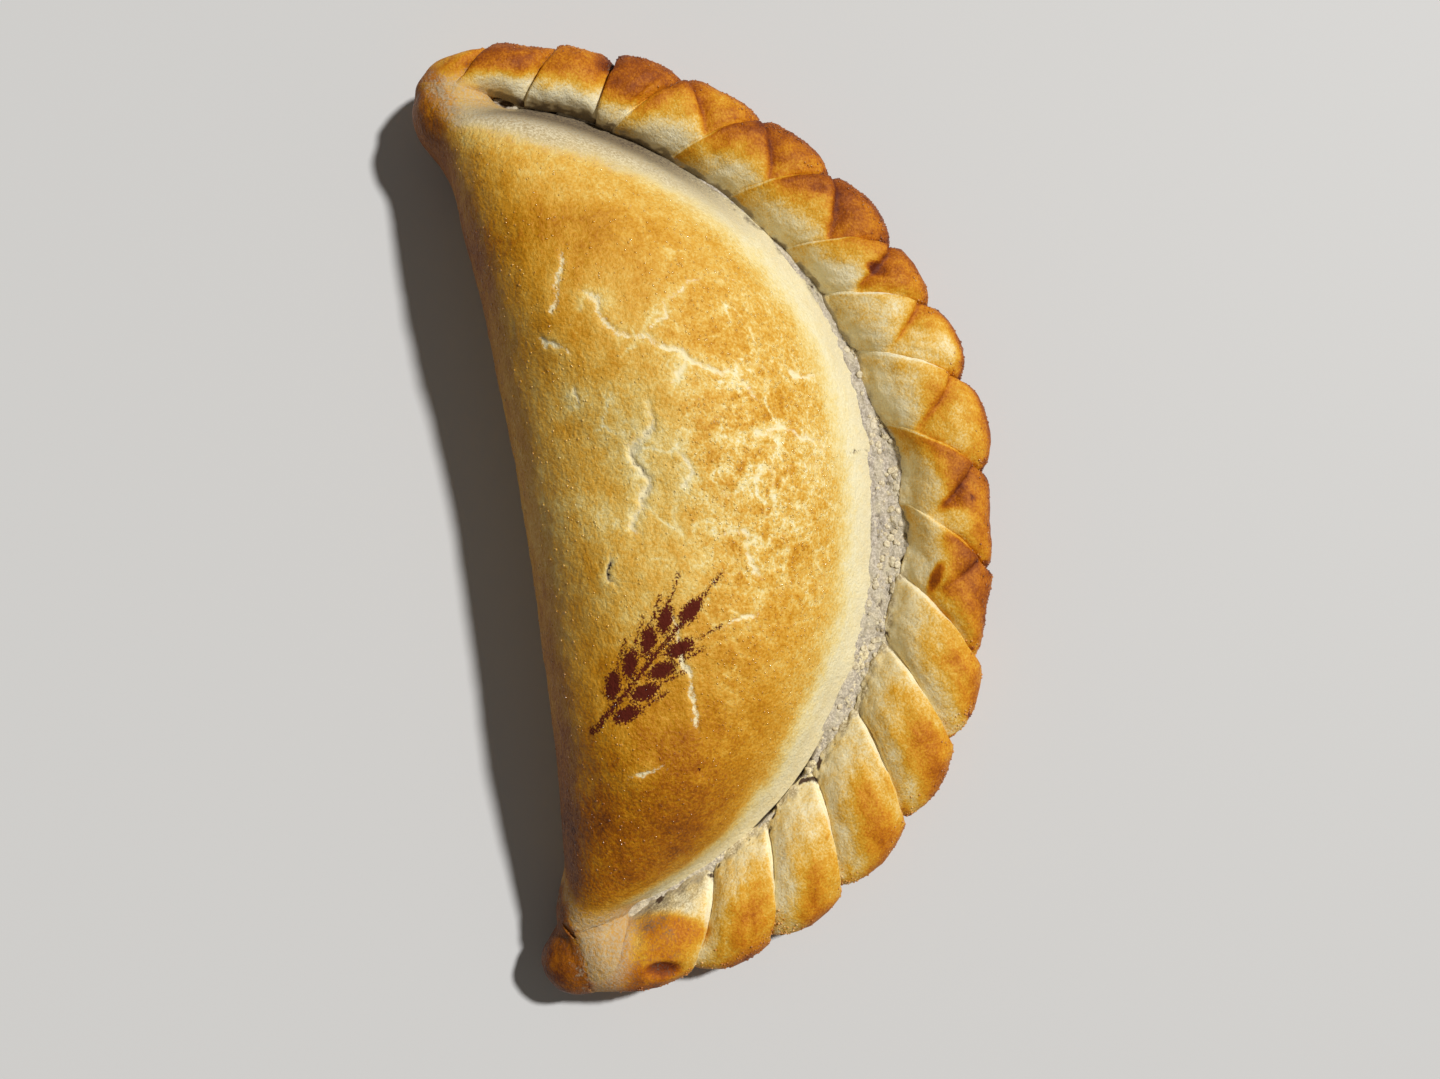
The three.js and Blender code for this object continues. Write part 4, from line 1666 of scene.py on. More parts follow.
@dataclass(frozen=True)
class Crimp:
    """The rope: one twist after another, each with a crease between it and the next."""

    pastry: Pastry
    start_deg: float = 3.2
    ends_deg: tuple[float, ...] = (
        11.2, 18.8, 25.2, 33.8, 43.8, 54.0, 64.7, 72.9, 82.0,
        92.7, 103.6, 113.6, 123.2, 133.2, 143.6, 153.0, 162.4, 179.0,
    )
    reaches: tuple[float, ...] = (
        -2.2, -1.9, -1.2, -0.4, -0.4, 0.0, 0.4, 0.0, 0.6,
        0.8, -1.2, -1.4, 0.1, 0.3, 0.1, 0.2, 0.0, -0.35,
    )
    half_height: float = 5.6
    centre_height: float = 5.2
    squareness: float = 2.2
    inner_slope: Pair = (2.0, 0.8)
    first_inner_slope: float = 0.42
    under_deg: float = -130.0
    inner_deg: float = 176.0
    crease_depth: Pair = (2.3, 2.9)
    crease_deepest_deg: float = 50.0
    crease_shallow: float = 0.25
    leans_deg: tuple[Pair, ...] = (
        (2.4, 5.0), (11.2, 5.6), (18.8, 3.6), (25.2, -0.6),
        (33.8, 6.3), (43.8, 7.6), (54.0, 8.2), (179.0, 8.4),
    )
    under_lean_share: float = 0.4
    twist_skew: float = 0.85
    twist_flatness: Pair = (3.0, 2.3)
    twist_roundness: float = 0.62
    fold_depth: Pair = (0.5, 0.6)
    fold_width_deg: Pair = (15.0, 3.2)
    fold_step: float = 0.4
    fold_start_deg: float = 10.0
    fold_end_deg: float = 102.0
    fold_shift: Triple = (0.27, 63.0, 76.0)
    first_fold_deg: Pair = (31.0, 36.0)
    fold_fade_deg: Pair = (100.0, 122.0)
    end_rounding_deg: Pair = (9.0, 12.0)
    overlap: Pair = (0.35, 0.9)
    overlap_share: Hump = Hump(0.12, 0.09)
    overlap_from_crease: Ease = Ease(0, 0.06)
    overlap_turn: Ease = Ease(-1.2, 0.2)
    inner_slope_deg: Ease = Ease(56, 30)
    folded_deepest_deg: float = 15.0
    folded_shallow: float = 0.12
    crease_focus: Pair = (2.0, 5.0)  # how closely it keeps to its deepest turn
    fold_sharpness: float = 1.4
    fold_step_width_deg: Pair = (3.0, 26.0)
    seal_turn: Ease = Ease(110, 160)
    seal_fillet: float = 1.8
    waver: Noise = Noise(4.0, 114, 2, 7.0)  # of the edges between brown and pale, in degrees
    stations_per_twist: int = 42
    section_points: int = 126
    tip_fillet: float = 2.4
    tip_reach: float = 2.8
    tones: RopeTones = RopeTones()

    def end_fill(self, deg: Array) -> Array:
        """Rounds off the rope's ends.

        Args:
            deg: Angles round the arc, in degrees.

        Returns:
            How far the rope has filled out there, from 0 at its very end to 1.
        """
        from_start = (deg - self.start_deg) / self.end_rounding_deg[0]
        from_end = (self.ends_deg[-1] - deg) / self.end_rounding_deg[1]
        near = np.clip(np.minimum(from_start, from_end), 0, 1)
        return np.sqrt(1 - (1 - near) ** 2)

    def crease_lean(self, turn: Array, deg: Array) -> Array:
        """Leans the creases.

        Args:
            turn: Turns round the section, in radians.
            deg: Angles round the arc at the rope's outer edge, in degrees.

        Returns:
            How far back along the arc, in radians, a crease has run at each turn.
        """
        lean = np.radians(np.interp(deg, *np.array(self.leans_deg).T))
        across = (1 - np.cos(turn)) / 2
        return np.where(turn > 0, lean * across, -lean * across * self.under_lean_share)

    def back(self, share: Array, folded: Array) -> Array:
        """How high a twist's back stands above its creases, at a share of its width."""
        flatness = lerp(self.twist_flatness[1], self.twist_flatness[0], folded)
        return np.maximum(0, 1 - np.abs(2 * share**self.twist_skew - 1) ** flatness) ** self.twist_roundness

    def fold_turn(self, share: Array, deg: Array) -> Array:
        """Lays a fold over each twist, straight as seen from above.

        Args:
            share: Shares of the twist's width.
            deg: Angles round the arc, in degrees.

        Returns:
            Where round the section the fold runs, in degrees.
        """
        start, end = np.cos(np.radians((self.fold_start_deg, self.fold_end_deg)))
        inward = self.fold_shift[0] * smooth(deg, *self.fold_shift[1:])
        return np.degrees(np.arccos(lerp(start, end, share) - inward))

    def folded(self, deg: Array) -> Array:
        """How strongly twists are folded: 1 in the rope's first half, but for its first twists."""
        return smooth(deg, *self.first_fold_deg) * (1 - smooth(deg, *self.fold_fade_deg))

    def sink(self, share: Array, turn: Array, deg: Array) -> Array:
        """Sinks the creases and the folds.

        Args:
            share: Shares of the twist's width.
            turn: Turns round the section, in radians.
            deg: Angles round the arc, in degrees.

        Returns:
            How much lower than its back the twist lies there, in mm.
        """
        folded = self.folded(deg)
        back = self.back(share, folded)
        deepest = np.radians(lerp(self.crease_deepest_deg, self.folded_deepest_deg, folded))
        facing = np.cos((turn - deepest) / 2) ** lerp(*self.crease_focus, folded)
        depth = lerp(self.crease_depth[1], self.crease_depth[0], folded)
        shallow = lerp(self.crease_shallow, self.folded_shallow, folded)
        crease = depth * lerp(shallow, 1, facing) * (1 - back)
        away = np.degrees(turn) - self.fold_turn(share, deg)
        wide = self.fold_depth[0] * bell(away, 0, self.fold_width_deg[0])
        sharp = self.fold_depth[1] * np.exp(-np.abs(away / self.fold_width_deg[1]) ** self.fold_sharpness)
        narrow, broad = self.fold_step_width_deg
        step = self.fold_step * away / np.sqrt(away**2 + narrow**2) * bell(away, 0, broad)
        return crease + folded * (wide + sharp - step) * back

    def squared(self, value: Array) -> Array:
        """Bends a sine or cosine so that the section comes out squarer than an oval."""
        return np.sign(value) * np.abs(value) ** (2 / self.squareness)

    def rings(self) -> tuple[Array, Array, Array, Array]:
        """Lays out the rope's sections.

        Returns:
            The points by section, and for each the twist's number plus the share of its width,
            the turn round the section and the angle round the arc at the outer edge, in degrees.
        """
        starts = np.array((self.start_deg, *self.ends_deg[:-1]))
        ends = np.array(self.ends_deg)
        steps = self.stations_per_twist
        number = np.repeat(np.arange(len(ends)), steps)
        share = np.tile((1 - np.cos(math.pi * np.arange(steps) / steps)) / 2, len(ends))
        number, share = np.append(number, len(ends) - 1), np.append(share, 1.0)
        deg = lerp(starts[number], ends[number], share)
        turn = np.radians(np.linspace(self.inner_deg, self.under_deg, self.section_points))[None, :]
        number, share, deg = number[:, None], share[:, None], deg[:, None]
        fill = self.end_fill(deg)
        angle = np.radians(deg) - self.crease_lean(turn, deg) * fill
        radius, half_width = self.pastry.rope_section(angle)
        roundness = lerp(self.inner_slope[1], self.first_inner_slope, self.inner_slope_deg.at(deg))
        slope = np.maximum(0, 1 - np.abs(np.cos(turn)) ** self.inner_slope[0]) ** roundness
        upward = np.where(turn > math.pi / 2, slope, self.squared(np.sin(turn)))
        outermost = half_width + np.array(self.reaches)[number] * np.sin(math.pi * share)
        sunk = self.sink(share, turn, deg)
        reach_out = self.squared(np.cos(turn)) * np.maximum(0, outermost - sunk)
        reach_up = upward * np.maximum(0, self.half_height - sunk)
        lip = lerp(self.overlap[1], self.overlap[0], self.folded(deg)) * self.overlap_share.at(share)
        lip = lip * self.overlap_from_crease.at(share) * self.overlap_turn.at(turn) * fill
        points = self.pastry.on_arc(
            radius + fill * reach_out, angle - lip / radius, self.centre_height + fill * reach_up)
        return points, number + share + 0 * turn, np.degrees(turn) + 0 * share, deg + 0 * turn

    def surface(self, tips: list[Surface]) -> Surface:
        """Makes the rope with its marks, settled on the table.

        Args:
            tips: The tips' bare surfaces, which it is run into.

        Returns:
            The rope.
        """
        rings, number, turn, deg = self.rings()
        made = loft(rings)
        number, turn, deg = (with_ends(values) for values in (number, turn, deg))
        share = number - np.floor(np.minimum(number, len(self.ends_deg) - TINY_SHARE))
        flat = made.points.copy()
        folded = self.folded(deg)
        place = RopePlace(
            flat, np.floor(number), share, turn, deg, turn + self.waver.at(flat), folded,
            turn - self.fold_turn(share, deg), self.back(share, folded))
        seal_swell = self.seal_turn.at(turn) * fillet(flat[:, 2] - self.pastry.rim_top, self.seal_fillet)
        made.join(tips, self.tip_fillet, self.pastry.tip_reach(flat))
        joined = made.points
        relief = seal_swell + self.tones.relief(place)
        made.raise_by(self.pastry.wrinkled(joined, relief, self.tip_reach))
        made.marks = self.tones.marks(place)
        self.pastry.pinched(joined, made.marks, self.tip_reach)
        made.points = self.pastry.settle(made.points)
        return made


# ---- Tips -----------------------------------------------------------------------------------


@dataclass(frozen=True)
class TipSkin:
    """The skin of a tip: knob and neck in one, drawn out towards what they are pinched on to."""

    pastry: Pastry
    tip: Tip
    rings: int = 90
    sides: int = 140
    blend: float = 1.6
    fillets: Pair = (5.0, 2.4)  # towards the dome and towards the rope
    pole_gap: float = 0.02  # how far from straight up and down its first and last rings are
    reach: float = 40.0  # farther than any of its points, so that all of it gets a tip's skin

    def bare(self) -> Surface:
        """Makes the skin by itself.

        Returns:
            The closed skin, ready for others to be run into it.
        """
        polar = np.linspace(self.pole_gap, math.pi - self.pole_gap, self.rings)[:, None]
        round_it = np.linspace(0, 2 * math.pi, self.sides, endpoint=False)[None, :]
        flat_out = np.sin(polar)
        upward = np.cos(polar) + 0 * round_it
        heading = np.stack([flat_out * np.cos(round_it), flat_out * np.sin(round_it), upward], -1)
        heart = np.array(self.tip.heart)
        reach = self.tip.lumps[0].reach(heart, heading)
        for lump in self.tip.lumps[1:]:
            other = lump.reach(heart, heading)
            reach = np.maximum(reach, other) + fillet(reach - other, self.blend)
        made = loft(heart + heading * reach[..., None])
        made.tree = BVHTree.FromPolygons(made.points.tolist(), made.quads.tolist())
        return made

    def surface(self, made: Surface, dome: Surface, crimp: Surface) -> Surface:
        """Runs the bare skin into the dome and the rope, and settles it on the table.

        Args:
            made: The bare skin, which is changed.
            dome: The dome.
            crimp: The rope.

        Returns:
            The same skin.
        """
        others = list(zip((dome.tree, crimp.tree), self.fillets))
        made.raise_by(run_in(made.points, made.normals(), others))
        joined = made.points
        made.raise_by(self.pastry.wrinkled(joined, np.zeros(len(joined)), self.reach))
        made.marks = {mark: np.zeros(len(joined)) for mark in Mark}
        made.marks[Mark.SCORCH] += UNSCORCHED
        self.pastry.pinched(joined, made.marks, self.reach)
        made.points = self.pastry.settle(made.points)
        return made


# ---- Node trees -----------------------------------------------------------------------------


def add(tree: bpy.types.NodeTree, kind: str, settings: dict | None = None, links: dict | None = None) -> Any:
    """Adds a node with its settings and links.

    Args:
        tree: The tree it goes in.
        kind: The node's type.
        settings: Values of the node's own properties.
        links: What goes into each socket, by name or number: a socket to link, or a value.

    Returns:
        The new node.
    """
    node = tree.nodes.new(kind)
    for name, value in (settings or {}).items():
        setattr(node, name, value)
    for socket, value in (links or {}).items():
        if isinstance(value, bpy.types.NodeSocket):
            tree.links.new(value, node.inputs[socket])
        else:
            node.inputs[socket].default_value = value
    return node


Socket = bpy.types.NodeSocket


@dataclass(frozen=True)
class Bench:
    """Where the nodes of one finish are put together."""

    tree: bpy.types.NodeTree
    place: Socket  # the place on the pastry, in mm

    def mark(self, which: Mark) -> Socket:
        """Reads a mark."""
        return add(self.tree, "ShaderNodeAttribute", {"attribute_name": which.value}).outputs["Fac"]

    def noise(self, size: float, detail: float = 2.0, rough: float = 0.6) -> Socket:
        """Makes noise with hills of a size in mm."""
        links = {"Vector": self.place, "Scale": 1 / size, "Detail": detail, "Roughness": rough}
        return add(self.tree, "ShaderNodeTexNoise", None, links).outputs["Fac"]

    def maths(self, operation: str, *values: Any, clamp: bool = False) -> Socket:
        """Does a sum."""
        settings = {"operation": operation, "use_clamp": clamp}
        return add(self.tree, "ShaderNodeMath", settings, dict(enumerate(values))).outputs[0]

    def swung(self, base: Any, value: Any, amount: Any) -> Socket:
        """Adds what a value from 0 to 1 lies above its middle, times an amount, to a base."""
        swing = self.maths("MULTIPLY", self.maths("SUBTRACT", value, 0.5), amount)
        return self.maths("ADD", base, swing)

    def ease(self, value: Any, edge: Pair) -> Socket:
        """Eases from 0 at an edge's low end to 1 at its high end."""
        links = {0: value, 1: edge[0], 2: edge[1]}
        return add(self.tree, "ShaderNodeMapRange", {"interpolation_type": "SMOOTHSTEP"}, links).outputs[0]

    def blend(self, factor: Any, first: Any, second: Any) -> Socket:
        """Mixes two colours.

        Args:
            factor: How much of the second there is, from 0 to 1.
            first: A socket or a hex code.
            second: The same.

        Returns:
            The mixed colour.
        """
        colours = [hex_colour(given) if isinstance(given, str) else given for given in (first, second)]
        links = {"Factor": factor, 6: colours[0], 7: colours[1]}
        return add(self.tree, "ShaderNodeMix", {"data_type": "RGBA"}, links).outputs[2]


@dataclass(frozen=True)
class Dough:
    """A finish of baked dough: its colours, its grain in mm, and what it does to the light.

    Each swing tells how much the grain breaks up the edge of a layer of colour, and each edge
    at what strength of its mark that layer begins and is full.
    """

    name: str
    ramp: tuple[tuple[float, str], ...]
    flour: tuple[str, str] = ("#a8946f", "#e0d5b4")
    crumb: str = "#e8d9ac"
    # Painted shade: the grey-brown that the shade mark lays over the colour.
    painted_shade: str = "#4c3a2c"
    scorch: str = "#541a0b"
    glazed_roughness: float = 0.46
    matt_roughness: float = 0.9
    shine: float = 0.18
    coat: float = 0.0
    coat_roughness: float = 0.25
    grain_size: float = 0.34
    grain: float = 0.4
    fleck: float = 0.8
    mottle_size: float = 1.5
    mottle: float = 0.34
    bump: float = 1.0
    bump_height: float = 0.2
    grain_detail: Pair = (3.0, 0.65)
    powder_edge: Pair = (0.35, 0.7)
    flour_swing: float = 1.2
    flour_edge: Pair = (0.15, 0.75)
    crumb_swing: float = 1.8
    crumb_edge: Pair = (0.3, 0.95)
    shade_swing: float = 0.7
    shade_edge: Pair = (0.25, 0.85)
    stipple: Triple = (0.3, 2.0, 0.7)  # the scorched dots' noise
    stipple_swing: float = 2.6
    stipple_edge: Pair = (-0.12, 0.22)
    scorch_swing: float = 1.6
    scorch_edge: Pair = (-0.75, -0.05)
    roughness_swing: float = 0.25
    pebble_size: float = 0.6
    pebble_height: float = 0.5

    def material(self) -> bpy.types.Material:
        """Builds the finish.

        Returns:
            The material.
        """
        made = bpy.data.materials.new(self.name)
        made.use_nodes = True
        tree = made.node_tree
        shader = tree.nodes["Principled BSDF"]
        place = add(tree, "ShaderNodeTexCoord").outputs["Object"]
        scaling = {"operation": "SCALE"}, {0: place, "Scale": 1 / MM}
        bench = Bench(tree, add(tree, "ShaderNodeVectorMath", *scaling).outputs[0])
        grain = bench.noise(self.grain_size, *self.grain_detail)
        matt = self.paint(bench, shader, grain)
        span = self.matt_roughness - self.glazed_roughness
        roughness = bench.maths("ADD", bench.maths("MULTIPLY", matt, span), self.glazed_roughness)
        roughness = bench.maths("ADD", bench.swung(0.0, grain, self.roughness_swing), roughness, clamp=True)
        tree.links.new(roughness, shader.inputs["Roughness"])
        shader.inputs["Specular IOR Level"].default_value = self.shine
        shader.inputs["Coat Weight"].default_value = self.coat
        shader.inputs["Coat Roughness"].default_value = self.coat_roughness
        pebbles = add(tree, "ShaderNodeTexVoronoi", {"feature": "SMOOTH_F1"}, {
            "Vector": bench.place, "Scale": 1 / self.pebble_size}).outputs["Distance"]
        height = bench.maths("SUBTRACT", grain, bench.maths("MULTIPLY", pebbles, self.pebble_height))
        links = {"Height": height, "Strength": self.bump, "Distance": self.bump_height * MM}
        tree.links.new(add(tree, "ShaderNodeBump", None, links).outputs[0], shader.inputs["Normal"])
        return made

    def paint(self, bench: Bench, shader: bpy.types.Node, grain: Socket) -> Socket:
        """Lays the colours over each other: the bake, then flour, crumb, painted shade and scorched skin.

        Args:
            bench: Where the nodes go.
            shader: What gets the colour.
            grain: The fine noise that breaks up the edges.

        Returns:
            How matt the surface is.
        """
        flour, split, scorch = (bench.mark(which) for which in (Mark.FLOUR, Mark.SPLIT, Mark.SCORCH))
        mottle = bench.noise(self.mottle_size)
        fleck = bench.maths("MULTIPLY", bench.mark(Mark.FLECK), self.fleck)
        level = bench.swung(bench.mark(Mark.BAKE), grain, bench.maths("ADD", self.grain, fleck))
        level = bench.maths("DIVIDE", bench.swung(level, mottle, self.mottle), self.ramp[-1][0])
        ramp = add(bench.tree, "ShaderNodeValToRGB", None, {"Fac": level})
        stops = ramp.color_ramp.elements
        while len(stops) < len(self.ramp):
            stops.new(0.5)
        for stop, (at, code) in zip(stops, self.ramp):
            stop.position, stop.color = at / self.ramp[-1][0], hex_colour(code)
        powder = bench.blend(bench.ease(grain, self.powder_edge), *self.flour)
        shade_masks = bench.ease(bench.swung(flour, grain, self.flour_swing), self.flour_edge)
        colour = bench.blend(bench.maths("MULTIPLY", flour, shade_masks), ramp.outputs["Color"], powder)
        laid_bare = bench.ease(bench.swung(split, grain, self.crumb_swing), self.crumb_edge)
        colour = bench.blend(laid_bare, colour, self.crumb)
        # Painted shade: the shade mark darkens the colour towards grey-brown.
        shade_mix = bench.ease(bench.swung(bench.mark(Mark.SHADE), grain, self.shade_swing), self.shade_edge)
        colour = bench.blend(shade_mix, colour, self.painted_shade)
        stippled = bench.swung(scorch, bench.noise(*self.stipple), self.stipple_swing)
        dots = bench.ease(stippled, self.stipple_edge)
        near = bench.ease(bench.swung(scorch, mottle, self.scorch_swing), self.scorch_edge)
        burnt = bench.maths("MULTIPLY", dots, near)
        colour = bench.blend(burnt, colour, self.scorch)
        bench.tree.links.new(colour, shader.inputs["Base Color"])
        return bench.maths("MAXIMUM", bench.maths("MAXIMUM", flour, split), burnt, clamp=True)


CRUST_RAMP = (
    (0.0, "#e9e0b9"), (0.2, "#e6d292"), (0.36, "#dcb963"), (0.5, "#d4a340"),
    (0.65, "#c98f24"), (0.8, "#b87a0c"), (1.0, "#9d5a02"), (1.3, "#5f2a08"),
)
# Egg-washed dough baked golden: the thin egg glaze gives the top its soft shine.
GLAZED = Dough("egg-washed baked dough", CRUST_RAMP, grain_size=0.4)
# The crimp's dough caught less egg wash: a duller shine and a smoother skin.
CRIMPED = Dough(
    "hand-crimped baked dough",
    ((0.0, "#ebe1be"), (0.2, "#e7d198"), (0.36, "#dfb862"), (0.5, "#d49e2c"),
     (0.65, "#c98516"), (0.8, "#b66a08"), (1.0, "#924903"), (1.3, "#5d240c")),
    glazed_roughness=0.55, fleck=0.7, mottle=0.3, bump=0.7,
)
# A blister where the egg wash boiled up and dried hard: glassy, so it glints in the light.
BLISTER = Dough(
    "blistered egg wash", CRUST_RAMP, glazed_roughness=0.2, matt_roughness=0.2, shine=0.9, coat=0.8,
    coat_roughness=0.12, grain=0.1, fleck=0.1, mottle=0.2, bump=0.0,
)
# A crumb that dropped off the dough and toasted dark.
CRUMB = Dough(
    "toasted crumb", ((0.0, "#e8c98a"), (0.5, "#cf8f3c"), (0.9, "#9c5516"), (1.3, "#5d2a0e")),
    glazed_roughness=0.3, shine=0.6, mottle=1.2, bump=0.3,
)
# A flake of dough that tore loose along the seam and dried pale.
FLAKE = Dough(
    "dried dough flake", ((0.0, "#efe8d6"), (0.5, "#e2d6ba"), (1.3, "#b39b70")),
    glazed_roughness=0.6, bump=0.3,
)
# The lip that was torn and dusted with flour: matt, grey where the flour took up steam.
FLOURY = Dough(
    "floury torn dough", CRUST_RAMP, flour=("#968a7c", "#cfc6b9"), glazed_roughness=0.8, shine=0.2,
    grain=0.3,
)


@dataclass(frozen=True)
class Scatter:
    """Small lumps that a Geometry Nodes tree scatters over a surface, thickest where it says."""

    name: str
    per_mm2: float
    radius: Pair  # the smallest and the largest, in mm
    flatness: float  # how high they stand for their width
    raggedness: float  # how uneven they are, as a share of their radius
    seed: int
    roundness: int = 1  # how often the ball that they are made from is divided
    dents: float = 0.9  # how many dents the largest have to their radius

    def tree(self, finish: bpy.types.Material) -> bpy.types.NodeTree:
        """Builds the tree, with its sizes as named inputs.

        Args:
            finish: What the lumps are made of.

        Returns:
            The tree.
        """
        tree = bpy.data.node_groups.new(self.name, "GeometryNodeTree")
        tree.interface.new_socket("Geometry", in_out="INPUT", socket_type="NodeSocketGeometry")
        for title in ("Density", "Smallest", "Largest", "Flatness", "Raggedness"):
            tree.interface.new_socket(title, in_out="INPUT", socket_type="NodeSocketFloat")
        tree.interface.new_socket("Seed", in_out="INPUT", socket_type="NodeSocketInt")
        tree.interface.new_socket("Geometry", in_out="OUTPUT", socket_type="NodeSocketGeometry")

        def node(kind: str, settings: dict | None = None, **links: Any) -> bpy.types.NodeOutputs:
            """Adds a node whose links are named by its sockets, with _ before a number."""
            places = {int(name[1:]) if name[0] == "_" else name: value for name, value in links.items()}
            return add(tree, kind, settings, places).outputs

        given = node("NodeGroupInput")
        name = Mark.COVER.value
        cover = node("GeometryNodeInputNamedAttribute", {"data_type": "FLOAT"}, Name=name)[0]
        density = node("ShaderNodeMath", {"operation": "MULTIPLY"}, _0=cover, _1=given["Density"])[0]
        spread = node(
            "GeometryNodeDistributePointsOnFaces",
            Mesh=given["Geometry"], Density=density, Seed=given["Seed"])
        size = node(
            "FunctionNodeRandomValue", {"data_type": "FLOAT"},
            Min=given["Smallest"], Max=given["Largest"], Seed=given["Seed"])[1]
        low = node("ShaderNodeMath", {"operation": "MULTIPLY"}, _0=size, _1=given["Flatness"])[0]
        scale = node("ShaderNodeCombineXYZ", X=size, Y=size, Z=low)[0]
        ball = node("GeometryNodeMeshIcoSphere", Radius=1.0, Subdivisions=self.roundness)[0]
        laid = node(
            "GeometryNodeInstanceOnPoints", Points=spread["Points"], Instance=ball,
            Rotation=spread["Rotation"], Scale=scale)[0]
        real = node("GeometryNodeRealizeInstances", Geometry=laid)[0]
        dents = node(
            "ShaderNodeTexNoise", {"noise_dimensions": "3D"}, Scale=self.dents / (self.radius[1] * MM))
        inward = node(
            "ShaderNodeVectorMath", {"operation": "SUBTRACT"}, _0=dents["Color"], _1=(0.5, 0.5, 0.5))[0]
        shift = node(
            "ShaderNodeVectorMath", {"operation": "SCALE"}, _0=inward, Scale=given["Raggedness"])[0]
        real = node("GeometryNodeSetPosition", Geometry=real, Offset=shift)[0]
        real = add(tree, "GeometryNodeSetShadeSmooth", None, {"Geometry": real, "Shade Smooth": True})
        real = node("GeometryNodeSetMaterial", Geometry=real.outputs[0], Material=finish)[0]
        node("NodeGroupOutput", Geometry=real)
        return tree

    def mesh(self, surface: Surface, finish: bpy.types.Material) -> bpy.types.Mesh:
        """Scatters the lumps over a surface.

        Args:
            surface: What they lie on.
            finish: What they are made of.

        Returns:
            All of them as one mesh.
        """
        values = {
            "Density": self.per_mm2 / MM**2, "Smallest": self.radius[0] * MM, "Largest": self.radius[1] * MM,
            "Flatness": self.flatness, "Raggedness": self.raggedness * self.radius[1] * MM, "Seed": self.seed,
        }
        return grown(surface.mesh(self.name), self.tree(finish), values)


def grown(mesh: bpy.types.Mesh, tree: bpy.types.NodeTree, values: dict[str, Any]) -> bpy.types.Mesh:
    """Runs a Geometry Nodes tree on a mesh.

    Args:
        mesh: What goes into the tree.
        tree: The tree.
        values: The tree's named inputs.

    Returns:
        What comes out of it, as a plain mesh.
    """
    holder = bpy.data.objects.new(tree.name, mesh)
    bpy.context.scene.collection.objects.link(holder)
    modifier = holder.modifiers.new(tree.name, "NODES")
    modifier.node_group = tree
    for socket in tree.interface.items_tree:
        if socket.in_out == "INPUT" and socket.name in values:
            modifier[socket.identifier] = values[socket.name]
    depsgraph = bpy.context.evaluated_depsgraph_get()
    result = holder.evaluated_get(depsgraph)
    made = bpy.data.meshes.new_from_object(result, preserve_all_data_layers=True, depsgraph=depsgraph)
    holder.modifiers.remove(modifier)
    bpy.data.objects.remove(holder)
    return made


SCATTERS = {
    "dome": (Scatter("blisters", 2.0, (0.08, 0.24), 0.42, 0.0, 5), BLISTER),
    "crimp": (Scatter("crumbs", 1.6, (0.08, 0.22), 0.9, 1.0, 6), CRUMB),
    "rim": (Scatter("flakes", 0.8, (0.15, 0.6), 0.3, 0.9, 7, 2), FLAKE),
}


# ---- Stage and main -------------------------------------------------------------------------


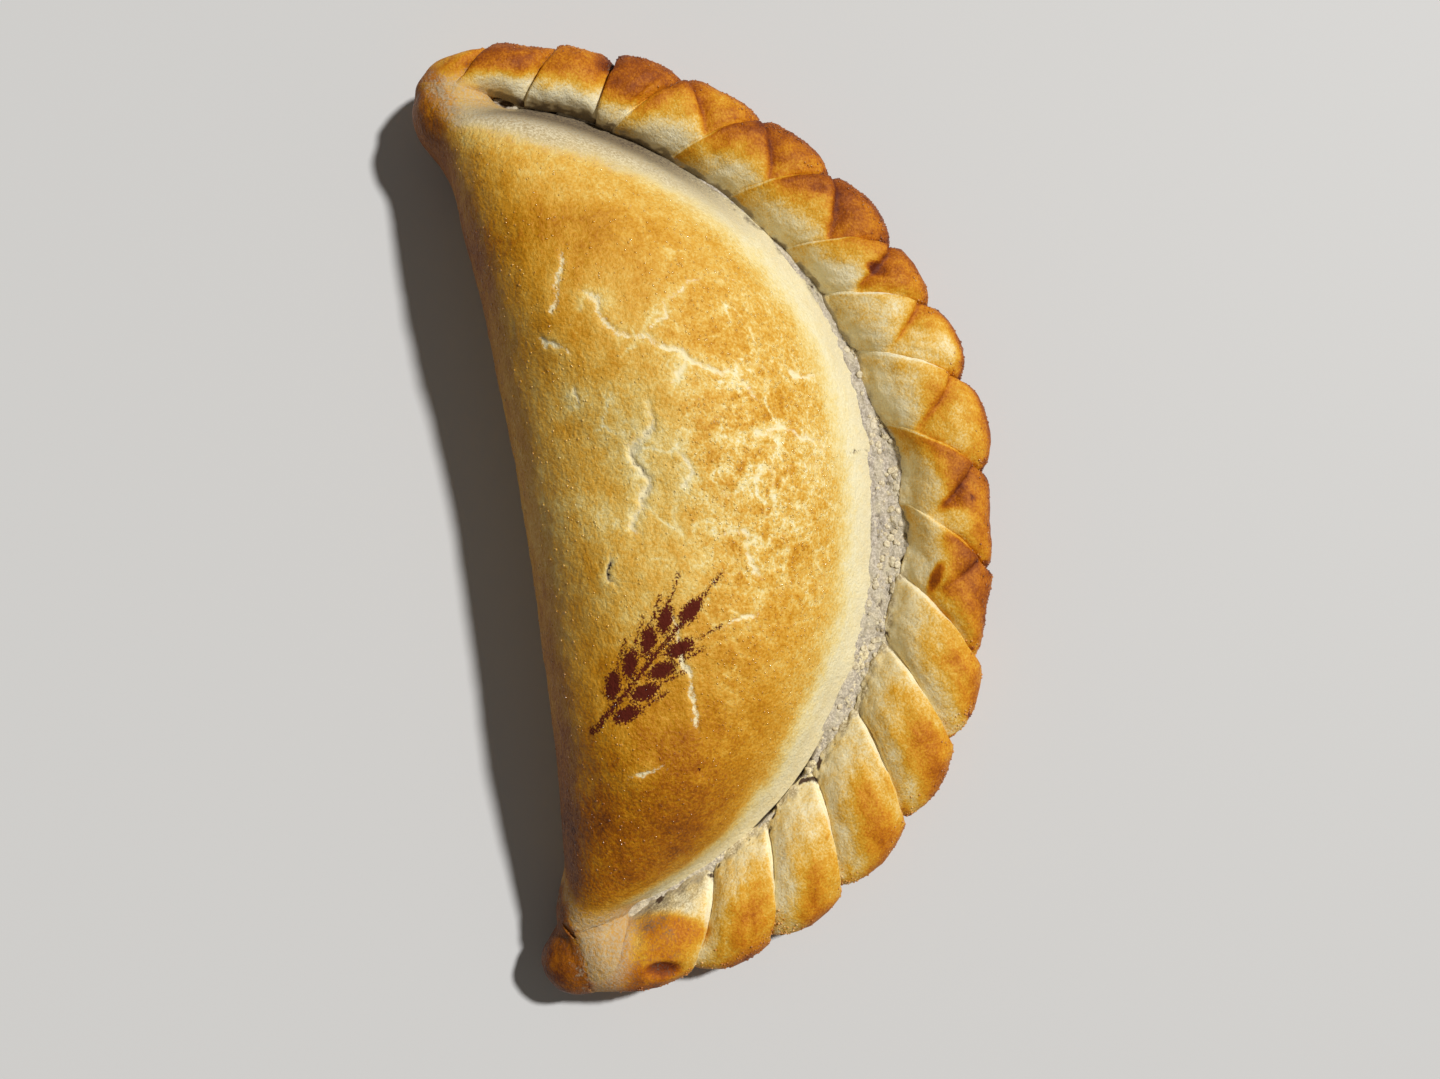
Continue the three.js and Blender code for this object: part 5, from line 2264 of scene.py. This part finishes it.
@dataclass(frozen=True)
class Stage:
    """The pale floor, the camera straight overhead, and the soft light from the crimp's side."""

    camera_at: Triple = (-6.7, 3.4, 300.0)
    image_right: Triple = (-0.1455, -0.989, 0.0)
    lens: float = 50.0
    sensor: float = 36.0
    to_light: Pair = (0.40, -0.916)
    light_elevation_deg: float = 51.5
    light_angle_deg: float = 4.5
    light_strength: float = 3.75
    sky_strength: float = 0.12
    sky_colour: str = "#fff8ee"
    floor_half_size: float = 1500.0
    floor_drop: float = 0.15
    floor_colour: str = "#cbcac8"
    floor_roughness: float = 0.6

    def build(self) -> None:
        """Adds the floor, the camera, the lights and the colour management."""
        self.add_floor()
        self.add_camera()
        self.add_light()
        view = bpy.context.scene.view_settings
        view.view_transform = "Standard"
        view.look = "None"

    def add_floor(self) -> None:
        """A plain pale floor, a hair below the pastry."""
        half, low = self.floor_half_size * MM, -self.floor_drop * MM
        corners = [(-half, -half, low), (half, -half, low), (half, half, low), (-half, half, low)]
        mesh = bpy.data.meshes.new("floor")
        mesh.from_pydata(corners, [], [(0, 1, 2, 3)])
        floor = bpy.data.objects.new("floor", mesh)
        bpy.context.scene.collection.objects.link(floor)
        matt = bpy.data.materials.new("pale matt tabletop")
        matt.use_nodes = True
        shader = matt.node_tree.nodes["Principled BSDF"]
        shader.inputs["Base Color"].default_value = hex_colour(self.floor_colour)
        shader.inputs["Roughness"].default_value = self.floor_roughness
        mesh.materials.append(matt)

    def add_camera(self) -> None:
        """A camera that looks straight down, turned as the photograph was."""
        right = Vector(self.image_right).normalized()
        back = Vector((0, 0, 1))
        up = back.cross(right)
        turned = Matrix((right, up, back)).transposed().to_4x4()
        data = bpy.data.cameras.new("camera")
        data.lens, data.sensor_width = self.lens, self.sensor
        camera = bpy.data.objects.new("camera", data)
        camera.matrix_world = Matrix.Translation(Vector(self.camera_at) * MM) @ turned
        bpy.context.scene.collection.objects.link(camera)
        bpy.context.scene.camera = camera

    def add_light(self) -> None:
        """A soft key light and a dim sky."""
        low = math.cos(math.radians(self.light_elevation_deg))
        high = math.sin(math.radians(self.light_elevation_deg))
        to_light = Vector((self.to_light[0] * low, self.to_light[1] * low, high))
        data = bpy.data.lights.new("key", "SUN")
        data.energy = self.light_strength
        data.angle = math.radians(self.light_angle_deg)
        key = bpy.data.objects.new("key", data)
        key.rotation_mode = "QUATERNION"
        key.rotation_quaternion = to_light.to_track_quat("Z", "Y")
        bpy.context.scene.collection.objects.link(key)
        world = bpy.data.worlds.new("sky")
        world.use_nodes = True
        sky = world.node_tree.nodes["Background"]
        sky.inputs["Color"].default_value = hex_colour(self.sky_colour)
        sky.inputs["Strength"].default_value = self.sky_strength
        bpy.context.scene.world = world


def main() -> None:
    """Builds the pastry piece by piece and sets the stage."""
    logging.basicConfig(level=logging.INFO, format="%(name)s %(message)s")
    pastry = Pastry()
    skins = [TipSkin(pastry, tip) for tip in pastry.tips]
    tips = [skin.bare() for skin in skins]
    surfaces = {
        "dome": Dome(pastry).surface(tips),
        "rim": Rim(pastry).surface(),
        "crimp": Crimp(pastry).surface(tips),
    }
    glazed = GLAZED.material()
    finishes = {"dome": glazed, "rim": FLOURY.material(), "crimp": CRIMPED.material()}
    for name, surface in surfaces.items():
        dress(name, surface.mesh(name), finishes[name])
    for name, (scatter, dough) in SCATTERS.items():
        finish = dough.material()
        dress(scatter.name, scatter.mesh(surfaces[name], finish), finish)
    for skin, bare in zip(skins, tips):
        whole = skin.surface(bare, surfaces["dome"], surfaces["crimp"])
        dress(skin.tip.name, whole.mesh(skin.tip.name), glazed)
    Stage().build()


if __name__ == "__main__":
    main()
